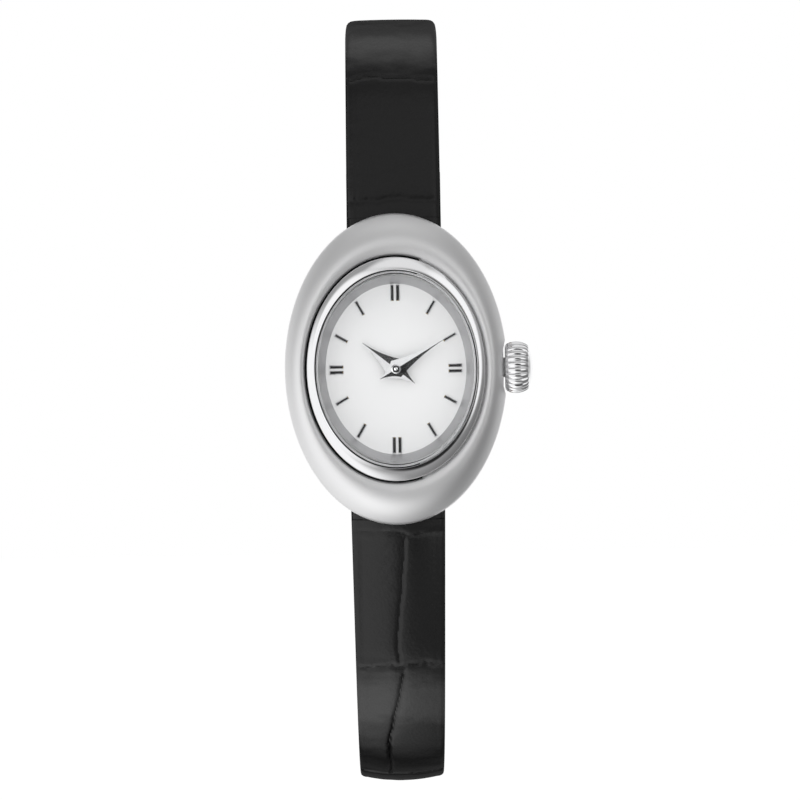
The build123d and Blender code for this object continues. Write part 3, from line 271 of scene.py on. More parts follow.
floor_drop = -46.8 * mm
floor_glow, share_of_glow = 1.04, 0.8
bpy.ops.mesh.primitive_plane_add(size=6, location=(0, 1.2, floor_drop))
floor = bpy.context.object
floor.name = "studio_floor"
paint = new_finish("white_floor")
floor_white = paint.tint(paint.noise(40, 3), (0.86, 0.86, 0.86), (0.9, 0.9, 0.9))
matt = paint.surface(Base_Color=floor_white, Roughness=0.9)
glow = paint.node("Emission", None, Color=(1, 1, 1, 1), Strength=floor_glow)
seen_straight = paint.node("LightPath", out="Is Camera Ray")
paint.end(paint.mix(seen_straight * share_of_glow, matt, glow))
floor.data.materials.append(finishes["white_floor"])
floor.visible_glossy = False
floor.visible_transmission = False
bpy.context.scene.view_settings.view_transform = "Standard"
bpy.ops.object.select_all(action="DESELECT")
print("lamps and floor ready")

# %% [markdown]
# ## Metal finishes
#
# The case is satin: fine enough that no stroke shows, so its roughness wanders a little and a very fine
# bump breaks up the reflections. The ring, crown, hands and markers are polished. Polish is never
# perfect, so a slow noise moves the roughness by a few hundredths.


# %% Metals
def metal(name, colour, roughness, wander=0.03, grain=0.0, grain_scale=9000, stretch=(1, 1, 1)):
    """A metal whose polish wanders, with an optional fine grain, its depth in millimetres."""
    recipe = new_finish(name)
    slow = recipe.noise(220, 2)
    fine = recipe.noise(grain_scale, 2, vector=recipe.place(stretch))
    darker = [channel * 0.94 for channel in colour]
    lighter = [min(1, channel * 1.03) for channel in colour]
    rough = recipe.between(slow, roughness - wander, roughness + wander) + recipe.between(fine, -0.02, 0.02)
    named = {
        "Base_Color": recipe.tint(slow * 0.5 + fine * 0.5, darker, lighter),
        "Metallic": 1.0,
        "Roughness": rough,
    }
    if grain:
        named["Normal"] = recipe.bump(fine, grain * mm, 0.6)
    recipe.end(recipe.surface(**named))


metal("satin_steel", (0.86, 0.86, 0.865), 0.5, grain=0.003, grain_scale=14000)
metal("polished_steel", (0.88, 0.88, 0.89), 0.09)
metal("applied_metal", (0.84, 0.84, 0.85), 0.07)
metal("ring_grey", (0.62, 0.62, 0.63), 0.4, grain=0.002, grain_scale=12000)
metal("ring_step", (0.9, 0.9, 0.9), 0.6, grain=0.002, grain_scale=12000)
# Near-black metal painted on as shade: the gap round the bezel ring, the ring's inner wall under the glass
# and the outer edge of the dial ring's step.
metal("dark_seam", (0.035, 0.035, 0.037), 0.55, grain=0.003)
metal("plate_metal", (0.72, 0.71, 0.67), 0.3, grain=0.004, grain_scale=4000, stretch=(1, 1, 0.1))
metal("brass", (0.8, 0.6, 0.27), 0.24, grain=0.003)
metal("soft_iron", (0.46, 0.46, 0.47), 0.42, grain=0.004)
metal("magnet", (0.28, 0.28, 0.3), 0.38, grain=0.004)
print("metals ready")

# %% [markdown]
# The boss of the minute hand is turned on a lathe: a pip in the middle, which is the end of its pinion, a
# flat round it and a rim that falls away. It is about a millimetre across, so a bump that depends only on
# the distance from the hands' axis is enough.

# %% Turned boss
boss_profile = ((0.0, 0.8), (0.2, 0.5), (0.38, 0.5), (0.5, 0.2), (0.55, 0.2))
boss_depth = 0.25 * mm
mm_per_metre = 1 / mm
recipe = new_finish("hand_polish")
flattened = recipe.place((mm_per_metre, 0, mm_per_metre))
from_axis = recipe.node("VectorMath", {"operation": "LENGTH"}, flattened, out="Value")
boss_stops = [(reach, (level, level, level, 1)) for reach, level in boss_profile]
boss_height = recipe.node("ValToRGB", {"stops": boss_stops}, from_axis)
polish = recipe.noise(220, 2)
recipe.end(
    recipe.surface(
        Base_Color=recipe.tint(polish, (0.8, 0.8, 0.81), (0.87, 0.87, 0.88)),
        Metallic=1.0,
        Roughness=recipe.between(polish, 0.05, 0.1),
        Normal=recipe.bump(boss_height, boss_depth),
    )
)
print("turned boss ready")

# %% [markdown]
# ## Glass, lacquer and rubber
#
# The crystal is clear glass. Lamps do not shine through solid glass in a path tracer, so a shadow ray
# meets a clear surface instead, and so does the light that the dial has scattered. The dial is white
# lacquer with a faint satin. The board and the moulded pieces inside are plain, with just enough grain to
# look made.

# %% Crystal
recipe = new_finish("crystal")
glass = recipe.surface(
    Base_Color=recipe.tint(recipe.noise(60, 1), (0.985, 0.992, 0.995), (1, 1, 1)),
    Roughness=recipe.between(recipe.noise(300, 2), 0.0, 0.012),
    IOR=1.45,
    Transmission_Weight=1.0,
)
clear = recipe.node("BsdfTransparent", None, Color=(1, 1, 1, 1))
passes_light = recipe.math("MAXIMUM", recipe.node("LightPath", out="Is Shadow Ray"), recipe.scattered())
recipe.end(recipe.mix(passes_light, glass, clear))
print("crystal ready")


# %% Paints and mouldings
def paint_like(name, dark, light, roughness, scale=2500, depth=0.002, detail=3.0, coat=0.0):
    """A painted, moulded or lacquered surface, the depth of its grain in millimetres."""
    recipe = new_finish(name)
    fine = recipe.noise(scale, detail)
    slow = recipe.noise(180, 2)
    named = {
        "Base_Color": recipe.tint(slow, dark, light),
        "Roughness": recipe.between(fine, roughness - 0.04, roughness + 0.04),
        "Normal": recipe.bump(fine, depth * mm, 0.5),
    }
    if coat:
        named["Coat_Weight"] = coat
        named["Coat_Roughness"] = 0.12
    recipe.end(recipe.surface(**named))


paint_like("dial_white", (0.855, 0.857, 0.86), (0.875, 0.876, 0.878), 0.32, 5000, 0.001, coat=0.25)
paint_like("white_plastic", (0.78, 0.78, 0.74), (0.84, 0.84, 0.8), 0.45)
paint_like("black_plastic", (0.015, 0.015, 0.016), (0.028, 0.028, 0.03), 0.35)
paint_like("green_board", (0.02, 0.12, 0.06), (0.05, 0.22, 0.11), 0.3, 900, 0.01, coat=0.3)
paint_like("rubber_black", (0.02, 0.02, 0.02), (0.04, 0.04, 0.04), 0.75)

recipe = new_finish("copper_wire")
bands = {"wave_type": "BANDS", "bands_direction": "X"}
turns = recipe.node("TexWave", bands, Scale=3200, Vector=recipe.place())
copper = recipe.tint(turns * 0.6 + recipe.noise(900, 2) * 0.4, (0.36, 0.13, 0.06), (0.8, 0.4, 0.22))
recipe.end(
    recipe.surface(
        Base_Color=copper,
        Metallic=0.8,
        Roughness=recipe.between(turns, 0.3, 0.42),
        Normal=recipe.bump(turns, 0.02 * mm),
    )
)
print("paints and wire ready")

# %% [markdown]
# ## Finishes for the parts that stay
#
# Most small metal parts have their right shape already. Their meshes arrive as loose triangles, so a live
# Weld closes them, a fine Bevel breaks the sharp edges that a machinist would break too, and an Edge Split
# keeps the flats crisp while the rounds shade smoothly. The hands and markers are nearly flat facets, so
# theirs split at a much smaller angle. The leather pieces are all modelled again below.

# %% Dress the parts
broken_edges = {
    "buckle_frame": 0.16,
    "buckle_tongue": 0.1,
    "buckle_bar": 0.04,
    "case_back": 0.06,
    "spring_bar_upper": 0.04,
    "spring_bar_lower": 0.04,
}
faceted = ("hour_hand", "minute_hand", "hour_markers")
turned_tops = ("minute_hand", "cannon_pinion")
facet_angle, round_angle, sharp_angle = 6, 28, 40
weld_reach = 0.0005 * mm
dressed = 0


def modify(piece, name, kind, **settings):
    """Adds a modifier with its settings."""
    modifier = piece.modifiers.new(name, kind)
    for setting, value in settings.items():
        setattr(modifier, setting, value)


for part in frame["record"]["subparts"]:
    name, slot = part["node"], part["material_slot"]
    if slot not in finishes:
        continue
    node = frame["nodes"][name]
    node.data.materials.clear()
    node.data.materials.append(finishes["hand_polish" if name in turned_tops else slot])
    for face in node.data.polygons:
        face.use_smooth = True
    modify(node, "weld", "WELD", merge_threshold=weld_reach)
    if name in broken_edges:
        limit = {"limit_method": "ANGLE", "angle_limit": math.radians(sharp_angle)}
        modify(node, "broken_edge", "BEVEL", width=broken_edges[name] * mm, segments=2, **limit)
    split_angle = math.radians(facet_angle if name in faceted else round_angle)
    modify(node, "crisp_flats", "EDGE_SPLIT", split_angle=split_angle)
    dressed += 1
print("dressed", dressed, "parts")

# %% [markdown]
# ## Rings of ovals
#
# The case, the bezel ring, the dial ring and the crystal are all the same idea: an oval that is carried
# up and down while it grows and shrinks, as on a lathe that turns ellipses. One circle is scaled to the
# first oval, and its edge is extruded and scaled once for each step of the profile. The open ends are
# bridged, for a ring, or filled, for a lens.


# %% Oval rings
def start_editing(component="VERT"):
    bpy.ops.object.mode_set(mode="EDIT")
    bpy.ops.mesh.select_mode(type=component)


def stop_editing():
    bpy.ops.object.mode_set(mode="OBJECT")


def smooth(degrees):
    """Shades the piece in hand smoothly, except across edges sharper than this."""
    bpy.ops.object.shade_smooth_by_angle(angle=math.radians(degrees))


def start_circle(name, corners, turn):
    """A circle of radius one in edit mode, all selected, to be carried along a profile."""
    bpy.ops.object.select_all(action="DESELECT")
    bpy.ops.mesh.primitive_circle_add(vertices=corners, radius=1, rotation=turn)
    made = bpy.context.object
    made.name = name
    bpy.ops.object.transform_apply()
    start_editing()
    bpy.ops.mesh.select_all(action="SELECT")
    return made


def close_solid(bridged=False):
    """Bridges or fills the open ends, turns every face outwards and leaves edit mode."""
    bpy.ops.mesh.select_all(action="DESELECT")
    bpy.ops.mesh.select_non_manifold()
    if bridged:
        bpy.ops.mesh.bridge_edge_loops()
    else:
        bpy.ops.mesh.fill_holes(sides=0)
    bpy.ops.mesh.select_all(action="SELECT")
    bpy.ops.mesh.normals_make_consistent(inside=False)
    stop_editing()


def oval_solid(name, profile, ring=True, sides=128):
    """Carries an oval along a profile of (half width, half length, height) in millimetres. It ends as a
    ring with a hole through it, or as a solid with both ends filled."""
    made = start_circle(name, sides, (math.pi / 2, 0, 0))
    width, length, height = profile[0]
    bpy.ops.transform.resize(value=(width * mm, 1, length * mm), center_override=(0, 0, 0))
    bpy.ops.transform.translate(value=(0, -height * mm, 0))
    for next_width, next_length, next_height in profile[1:]:
        bpy.ops.mesh.extrude_region_move(
            TRANSFORM_OT_translate={"value": (0, (height - next_height) * mm, 0)}
        )
        growth = (next_width / width, 1, next_length / length)
        bpy.ops.transform.resize(value=growth, center_override=(0, 0, 0))
        width, length, height = next_width, next_length, next_height
    close_solid(bridged=ring)
    smooth(30)
    return made


def hand_over(piece, body, slot, node, finish=None):
    """A finished piece rides on its body, gets its finish, mostly its slot's, and stands for its part."""
    piece.data.materials.clear()
    piece.data.materials.append(finishes[finish or slot])
    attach(piece, body)
    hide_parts(node)
    piece.select_set(False)
    print(piece.name, len(piece.data.polygons), "faces")


def second_finish(piece, finish, wanted):
    """Gives another finish to the faces whose middle, in millimetres, the test wants."""
    piece.data.materials.append(finishes[finish])
    changed = 0
    for face in piece.data.polygons:
        x, y, z = (value / mm for value in face.center)
        if wanted(x, -y, z):
            face.material_index = len(piece.data.materials) - 1
            changed += 1
    print(piece.name, changed, "faces with a second finish")


def on_oval(x, z, oval):
    """One on the oval, less inside it and more outside."""
    return math.hypot(x / oval[0], z / oval[1])


print("oval helpers ready")

# %% [markdown]
# ## The case
#
# The case is one puffed oval of satin steel. It is widest at mid height, rises in one swelling to a crest
# and falls a little to a thin lip round the bezel ring. Light should run over it without a facet, so its
# profile takes many small steps, closest together at the rim, where the surface turns fastest.

# %% Case profile
case_widest = (11.75, 16.48, 3.4)
case_low, case_lip = 0.7, 6.4
groove = (9.6, 12.0, 5.8)
dial_bore, movement_bore, dial_seat = (8.62, 10.22), (8.2, 9.8), 4.3
underside_share = 0.2
quarter_steps, dome_steps = 16, 26
rim_edge = ((0.0, 3.4), (0.003, 3.75), (0.011, 3.98), (0.025, 4.18))
first_rise, rounding_off, lip_share, lip_drop = 6.3, 4.2, 0.985, 0.1


def case_oval(inset, height):
    """The case's oval, a share of the way in from its widest to its lip."""
    return (
        case_widest[0] - inset * (case_widest[0] - groove[0]),
        case_widest[1] - inset * (case_widest[1] - groove[1]),
        height,
    )


case_profile = []
for step in range(quarter_steps, 0, -1):
    turn = math.pi / 2 * step / quarter_steps
    quarter_height = case_widest[2] - (case_widest[2] - case_low) * math.sin(turn)
    case_profile.append(case_oval(underside_share * (1 - math.cos(turn)), quarter_height))
case_profile += [case_oval(share, height) for share, height in rim_edge]

# Above its rounded rim the dome rises less and less, and falls a little to its lip
rim_share, rim_height = rim_edge[-1]
for step in range(1, dome_steps + 1):
    share = rim_share + (lip_share - rim_share) * step / dome_steps
    inward = share - rim_share
    case_profile.append(case_oval(share, rim_height + first_rise * inward - rounding_off * inward**2))
case_profile += [
    (*groove[:2], case_lip - lip_drop),
    groove,
    (*dial_bore, groove[2]),
    (*dial_bore, dial_seat),
    (*movement_bore, dial_seat),
    (*movement_bore, case_low),
]
case_shell = oval_solid("case_shell", case_profile, sides=160)
print("case profile of", len(case_profile), "ovals")

# %% [markdown]
# The strap ends, the spring bars and the crown need room in it. Each room is a simple solid that a Boolean
# takes out of the case, one after another.


# %% Cut the case
def cutter(kind, size, place, turn=(0, 0, 0), sides=64):
    """A simple solid that is only used to cut. Size is (x, y, z), or (radius, length) for a round one."""
    middle = [value * mm for value in place]
    if kind == "round":
        bpy.ops.mesh.primitive_cylinder_add(
            vertices=sides, radius=size[0] * mm, depth=size[1] * mm, location=middle, rotation=turn
        )
    else:
        bpy.ops.mesh.primitive_cube_add(size=1, location=middle, rotation=turn)
        bpy.context.object.scale = [value * mm for value in size]
    made = bpy.context.object
    bpy.ops.object.transform_apply()
    return made


def cut_away(piece, cutters):
    """Takes each cutter out of a piece with a Boolean, and deletes it."""
    for tool in cutters:
        bpy.ops.object.select_all(action="DESELECT")
        bpy.context.view_layer.objects.active = piece
        piece.select_set(True)
        modify(piece, "cut", "BOOLEAN", operation="DIFFERENCE", solver="EXACT", object=tool)
        bpy.ops.object.modifier_apply(modifier="cut")
        bpy.data.objects.remove(tool)
    smooth(30)


across = (0, math.pi / 2, 0)
bar_height, bar_place = 2.0, 13.3
pin_radius, pin_reach = 0.46, 0.75
pocket_radius, pocket_width, pocket_depth, pocket_length = 1.8, 10.4, 3, 8
stem_height, tube_radius, tube_length = 3.0, 1.05, 12.0
recess_radius, recess_floor, recess_length = 2.95, 11.35, 3.0

case_cutters = []
for side in (1, -1):
    bar = (0, -bar_height, side * bar_place)
    behind_bar = (0, pocket_depth / 2 - bar_height, side * bar_place)
    beyond_bar = (0, pocket_depth / 2 - bar_height, side * (bar_place + pocket_length / 2))
    case_cutters += [
        cutter("round", (pocket_radius, pocket_width), bar, across),
        cutter("block", (pocket_width, 2 * pocket_radius + pocket_depth, pocket_length), beyond_bar),
        cutter("block", (pocket_width, pocket_depth, 2 * pocket_radius), behind_bar),
        cutter("round", (pin_radius, pocket_width + 2 * pin_reach), bar, across, 24),
    ]
recess_middle = (recess_floor + recess_length / 2, -stem_height, 0)
case_cutters += [
    cutter("round", (recess_radius, recess_length), recess_middle, across, 96),
    cutter("round", (tube_radius, tube_length), (tube_length / 2, -stem_height, 0), across),
]
cut_away(case_shell, case_cutters)
hand_over(case_shell, "case", "satin_steel", "case_body")


# Painted shade: left of this, in millimetres across, the gaps round the ring are painted near-black.
painted_shade_until = 2.6


def in_painted_shade_side(x):
    """The gap round the ring is painted dark with shade on its left, and keeps its metal to catch light on
    its right.
    """
    return x < painted_shade_until


def in_groove(x, height, z):
    """The groove's floor and wall, but not the lip."""
    return 0.9 < on_oval(x, z, groove) < 1.002 and groove[2] - 0.1 < height < case_lip - 0.12


# The groove's floor and wall on the left get the near-black painted shade.
second_finish(case_shell, "dark_seam", lambda x, height, z: in_groove(x, height, z) and in_painted_shade_side(x))

# %% [markdown]
# ## Bezel ring, crystal and dial ring
#
# The polished ring stands a little above the case, with a rounded outer edge and a gentle slope up to the
# glass. The crystal is flat with a bevel that catches a bright line. The dial ring is the sloping grey wall
# between glass and dial.

# %% Bezel ring
ring_outer, ring_rim, ring_opening = (9.43, 11.83), (8.66, 10.54), (8.6, 10.48)
ring_low, ring_edge, ring_top = groove[2] + 0.01, 6.9, 7.25
shoulder, ring_bulge, ring_sink, slope_steps = 0.08, 0.05, 0.03, 8


def grown(oval, change):
    """An oval made wider and longer by the same amount."""
    return oval[0] + change, oval[1] + change


ring_profile = [
    (*ring_outer, ring_low),
    (*ring_outer, ring_edge - 0.14),
    (*grown(ring_outer, -0.03), ring_edge - 0.05),
]
slope_start = grown(ring_outer, -shoulder)
for step in range(slope_steps + 1):
    inward = step / slope_steps
    slope_width, slope_length = (outer - inward * (outer - rim) for outer, rim in zip(slope_start, ring_rim))
    rise = (ring_top - 0.02 - ring_edge - ring_sink) * inward + ring_bulge * math.sin(math.pi * inward)
    ring_profile.append((slope_width, slope_length, ring_edge + 0.02 + rise))
ring_profile += [
    (*grown(ring_opening, 0.02), ring_top - 0.05),
    (*ring_opening, ring_top - 0.1),
    (*ring_opening, ring_low),
]
bezel = oval_solid("bezel_polished", ring_profile)
hand_over(bezel, "case", "polished_steel", "bezel_ring")


def in_ring_painted_shade(x, height, z):
    """The faces painted with shade: the ring's outer wall in the shaded left part of the gap, and its inner
    wall below the glass's bevel.
    """
    outer_wall = on_oval(x, z, ring_outer) > 0.99 and height < ring_edge - 0.1 and in_painted_shade_side(x)
    return outer_wall or (on_oval(x, z, ring_opening) < 1.001 and height < ring_top - 0.11)


# The ring's shaded faces get the near-black painted shade.
second_finish(bezel, "dark_seam", in_ring_painted_shade)

# %% Crystal lens
glass_outline = (8.48, 10.36)
glass_low, glass_high, glass_bevel, glass_edge = 6.0, 7.25, 0.22, 0.02
crystal_profile = [
    (*grown(glass_outline, -glass_edge), glass_low),
    (*glass_outline, glass_low + glass_edge),
    (*glass_outline, glass_high - glass_bevel),
    (*grown(glass_outline, -glass_bevel), glass_high),
]
lens = oval_solid("crystal_lens", crystal_profile, ring=False)
hand_over(lens, "case", "crystal", "crystal")

# %% Dial ring
slope_top, step_edge = 5.74, (8.45, 10.05)
slope_profile = [
    (8.57, 10.17, 4.7),
    (8.57, 10.17, slope_top),
    (*step_edge, slope_top),
    (8.28, 9.88, slope_top),
    (7.46, 9.04, 4.78),
    (7.42, 9.0, 4.7),
]
rehaut = oval_solid("dial_ring_sloped", slope_profile)
hand_over(rehaut, "case", "ring_grey", "dial_ring")
second_finish(rehaut, "ring_step", lambda x, height, z: height > slope_top - 0.01)
# Painted shade: the step's outer edge, next to the bezel ring, gets the near-black paint as a dark line.
second_finish(
    rehaut, "dark_seam", lambda x, height, z: height > slope_top - 0.01 and on_oval(x, z, step_edge) > 1
)

# %% [markdown]
# ## The crown
#
# The crown is a small barrel with twenty-four rounded ribs and a plain domed cap. A circle with eight
# corners for each rib is carried along the barrel's profile. The corners are then drawn in, little at the
# middle of a rib and most between two ribs, on a quarter of a circle to each side, so each rib is a real
# bulge.

# %% Crown
crown_ribs, corners_per_rib = 24, 8
flute_depth, bore_reach = 0.24, 2.1
barrel = [  # distance from the dial's middle, radius, share of the flutes' depth
    (11.52, 2.2, 0.2),
    (11.58, 2.36, 0.5),
    (11.74, 2.52, 0.9),
    (12.0, 2.66, 1.0),
    (12.35, 2.75, 1.0),
    (12.7, 2.78, 1.0),
    (13.05, 2.75, 1.0),
    (13.4, 2.66, 1.0),
    (13.7, 2.53, 1.0),
    (13.9, 2.4, 0.85),
    (14.0, 2.28, 0.4),
]
cap = [(14.03, 2.12), (14.12, 1.98), (14.22, 1.75), (14.32, 1.45), (14.4, 1.1), (14.455, 0.7), (14.485, 0.3)]
crown_bore = [(12.8, 1.45), (11.54, 1.45)]
flute_at = {round(place, 3): share for place, radius, share in barrel}

crown_piece = start_circle("crown_fluted", crown_ribs * corners_per_rib, (0, math.pi / 2, 0))
here_x, here_radius = crown_bore[0]
bpy.ops.transform.resize(value=(1, here_radius * mm, here_radius * mm), center_override=(0, 0, 0))
bpy.ops.transform.translate(value=(here_x * mm, 0, 0))
for next_x, next_radius in crown_bore[1:] + [place[:2] for place in barrel] + cap:
    bpy.ops.mesh.extrude_region_move(TRANSFORM_OT_translate={"value": ((next_x - here_x) * mm, 0, 0)})
    grow = next_radius / here_radius
    bpy.ops.transform.resize(value=(1, grow, grow), center_override=(0, 0, 0))
    here_x, here_radius = next_x, next_radius
close_solid()

corner_angle = 2 * math.pi / (crown_ribs * corners_per_rib)
for vertex in crown_piece.data.vertices:
    reach = math.hypot(vertex.co.y, vertex.co.z)
    share = flute_at.get(round(vertex.co.x / mm, 3), 0)
    if share and reach > bore_reach * mm:
        corner = round(math.atan2(vertex.co.z, vertex.co.y) / corner_angle) % corners_per_rib
        from_crest = abs(corner - corners_per_rib / 2) / (corners_per_rib / 2)
        drawn_in = flute_depth * share * (1 - math.sqrt(max(0, 1 - (0.98 * from_crest) ** 2)))
        shrink = 1 - drawn_in * mm / reach
        vertex.co.y *= shrink
        vertex.co.z *= shrink
    vertex.co.y -= stem_height * mm
bpy.context.view_layer.objects.active = crown_piece
smooth(55)
hand_over(crown_piece, "crown", "polished_steel", "crown")

# %% [markdown]
# ## The line of the strap
#
# Each half of the strap leaves its spring bar almost level with the case and then curves back round the
# wrist. The line is a chain of bends, each given by its length and how far it turns. A small class holds
# the line, the thickness and the width of a half. It gives the place of the strap's middle and the
# directions along it and out of it, at any distance from the bar.

# %% Strap line
strap_end_radius = 1.5
lug_width, buckle_width = 10.0, 8.0
lining_thickness, glue_gap, lining_gap = 0.7, 0.06, 2.6
tip_roundness, tip_crowding = 0.32, 3.1


def read_table(table, where):
    """A value from a table of (place, value), straight between its rows."""
    for (place, value), (next_place, next_value) in zip(table, table[1:]):
        if where <= next_place:
            return value + (next_value - value) * (where - place) / (next_place - place)
    return table[-1][1]


class Half:
    """One half of the strap: the line that it follows, and how thick and wide it is along it.

    The line is (side, first angle, bends). The tables go along the half from 0 to 1: the thickness is a
    share of the greatest, and the width goes from 0, the buckle's, to 1, the case's. The tip is the length
    of the rounded tongue end, or zero for the end that wraps the buckle's bar."""

    def __init__(self, line, thicknesses, widths, tip=0.0):
        self.line, self.thicknesses, self.widths, self.tip = line, thicknesses, widths, tip
        self.length = sum(length for length, bend in line[2])

    def share(self, reach):
        return min(max(reach / self.length, 0), 1)

    def thickness(self, reach):
        return 2 * strap_end_radius * read_table(self.thicknesses, self.share(reach))

    def half_width(self, reach, inset=0.0):
        width = buckle_width + (lug_width - buckle_width) * read_table(self.widths, self.share(reach))
        half_width = width / 2 - inset
        if self.tip and reach > self.length - self.tip:
            half_width *= max(0.0005, (self.length - reach) / self.tip) ** tip_roundness
        return half_width

    def tip_stations(self, steps):
        """Distances along the tongue end, closer and closer towards its tip."""
        return [self.length - self.tip * (step / steps) ** tip_crowding for step in range(steps)]

    def at(self, reach):
        """Middle of the strap, the way along it and the way out of it, at a distance in millimetres."""
        side, first, bends = self.line
        y, z, turn = -bar_height, side * bar_place, math.radians(first)
        if reach < 0:
            y += reach * math.sin(turn)
            z += side * reach * math.cos(turn)
        for length, bend in bends:
            step = max(0, min(reach, length))
            if bend:
                radius = length / math.radians(bend)
                turned = turn + step / radius
                y += radius * (math.cos(turn) - math.cos(turned))
                z += side * radius * (math.sin(turned) - math.sin(turn))
                turn = turned
            else:
                y += step * math.sin(turn)
                z += side * step * math.cos(turn)
            reach -= length
            if reach <= 0:
                break
        if reach > 0:
            y += reach * math.sin(turn)
            z += side * reach * math.cos(turn)
        forward = Vector((0, math.sin(turn), side * math.cos(turn)))
        outward = Vector((0, -math.cos(turn), side * math.sin(turn)))
        return Vector((0, y, z)), forward, outward

    def turn_at(self, reach):
        """The place of the strap's middle, and the turn that puts X across, Y along and Z out of it."""
        middle, forward, outward = self.at(reach)
        return middle, Matrix((forward.cross(outward), forward, outward)).transposed().to_euler()


upper = Half(
    (1, 6.0, ((15.2, 11.0), (16.1, 82.5), (25.0, 45.0), (17.0, 0.0))),
    ((0.0, 1.0), (0.1, 0.8), (0.3, 0.74), (0.75, 0.68), (1.0, 0.68)),
    ((0.0, 1.0), (0.33, 0.85), (0.78, 0.0), (1.0, 0.0)),
)
lower = Half(
    (-1, 4.0, ((15.7, 10.0), (26.3, 81.0), (46.0, 63.0), (20.0, 0.0))),
    ((0.0, 1.0), (0.07, 0.8), (0.2, 0.72), (0.5, 0.62), (1.0, 0.56)),
    ((0.0, 1.0), (0.62, 0.0), (1.0, 0.0)),
    tip=4.6,
)
print("strap halves", round(upper.length, 1), "and", round(lower.length, 1), "mm long")

# %% [markdown]
# ## Embossed leather
#
# The strap is calf pressed to look like crocodile: one or two large square scales across, each puffed up
# between creases that wander, with faint furrows near both edges. A picture or a bump alone would stay
# flat at the outline, so the relief is real. It is a height for every place on the strap: deep at a
# crease, falling off on both sides, with shallow wrinkles inside a scale.

# %% Relief of the scales
cross_width, cross_shoulder = 0.26, 1.1
long_width, long_shoulder, long_depth = 0.2, 0.7, 1.25
shoulder_depth, crease_fade = 0.3, 0.8
furrow_width, furrow_depth, wrinkle_depth = 0.22, 0.03, 0.012


def dent(distance, width):
    """One at a crease, falling to nothing over about its width."""
    return math.exp(-((distance / width) ** 2))


def crease(distance, width, shoulder):
    """A sharp dent in the middle of a wide shallow one."""
    return dent(distance, width) + shoulder_depth * dent(distance, shoulder)


def wander(place, seed, size):
    """A slow wavering, the same every time: three waves that never fall in step."""
    waves = math.sin(place * 0.9 + seed * 1.7) + 0.6 * math.sin(place * 2.3 + seed * 3.1)
    return size * (waves + 0.3 * math.sin(place * 5.1 + seed))


def scale_relief(cross_creases, long_creases, furrows, lean):
    """A function that gives the leather's height, in millimetres, at (distance along, distance across). The
    scales on the left lean: they are lower at the strap's edge than at the long crease."""

    def height(along, across):
        level = 0.0
        nearest = 99.0
        for number, (place, depth) in enumerate(cross_creases):
            gap = along - place - wander(across * 0.7, number * 2.3 + place, 0.16)
            nearest = min(nearest, abs(gap))
            level -= depth * crease(gap, cross_width, cross_shoulder)
        for number, (points, depth) in enumerate(long_creases):
            start, end = points[0][0], points[-1][0]
            if not start <= along <= end:
                continue
            gap = across - read_table(points, along) - wander(along * 0.8, number + 0.5, 0.05)
            fade = min(1.0, (along - start) / crease_fade, (end - along) / crease_fade)
            level -= long_depth * fade * depth * crease(gap, long_width, long_shoulder)
            if gap < 0:
                level -= fade * lean * min(1.0, -gap / 4)
        for furrow in furrows:
            level -= furrow_depth * dent(across - furrow - wander(along * 0.35, furrow, 0.06), furrow_width)
        wrinkle = math.sin(along * 3.1 + wander(across, along * 0.15, 1.3))
        patches = 0.5 + 0.5 * math.sin(along * 0.37 + across * 0.5)
        return level + wrinkle_depth * wrinkle * min(1.0, nearest / 2) * patches

    return height


upper_relief = scale_relief(
    [(4.4, 0.09), (17.6, 0.2), (32.4, 0.2), (45.6, 0.18), (57.2, 0.16)],
    [
        ([(32.6, -0.9), (39.0, -0.3), (45.5, 0.4)], 0.14),
        ([(45.8, 0.3), (51.0, -0.4), (57.0, 0.1)], 0.14),
        ([(57.4, -0.2), (66.0, 0.3)], 0.1),
    ],
    furrows=(-4.0, 4.25),
    lean=0.05,
)
lower_relief = scale_relief(
    [(3.9, 0.14), (18.2, 0.22), (35.4, 0.2), (49.6, 0.18), (62.4, 0.17), (74.0, 0.16)]
    + [(84.4, 0.14), (94.0, 0.12)],
    [
        ([(4.0, 0.75), (11.0, 0.1), (16.2, -0.3), (18.1, -0.1)], 0.15),
        ([(18.4, 0.45), (21.0, 0.0), (24.6, -0.85), (28.5, -1.35), (35.2, -1.2)], 0.2),
        ([(41.6, -0.3), (45.0, 0.0), (49.4, 0.3)], 0.17),
        ([(49.8, 0.2), (56.0, -0.5), (62.2, -0.1)], 0.16),
        ([(62.6, 0.3), (68.0, 0.0), (73.8, -0.4)], 0.15),
        ([(74.2, -0.3), (84.2, 0.3)], 0.14),
        ([(84.6, 0.2), (93.8, -0.2)], 0.12),
        ([(94.2, 0.0), (104.5, 0.1)], 0.1),
    ],
    furrows=(-4.1, 4.1),
    lean=0.22,
)
print("relief ready")

# %% [markdown]
# ## The leather halves
#
# A flat grid is the start. Each of its rows becomes one section of the strap: across the bulged face,
# round both cut edges and back underneath. Its columns are close together on the face, where the relief
# is, and far apart below. The seam of the closed section is merged and both ends are filled.


# %% Wrap a grid into a strap
def section_outline(face_steps, edge_steps, under_steps):
    """The places round a section, each with its side of the strap and how far along that side it is: from
    -1 to 1 on the face and the underside, and from 0 to 1 on a cut edge."""
    outline = [("face", -1 + 2 * step / face_steps) for step in range(face_steps + 1)]
    outline += [("right", step / edge_steps) for step in range(1, edge_steps)]
    outline += [("under", 1 - 2 * step / under_steps) for step in range(under_steps + 1)]
    outline += [("left", step / edge_steps) for step in range(1, edge_steps)]
    return outline + [("face", -1)]


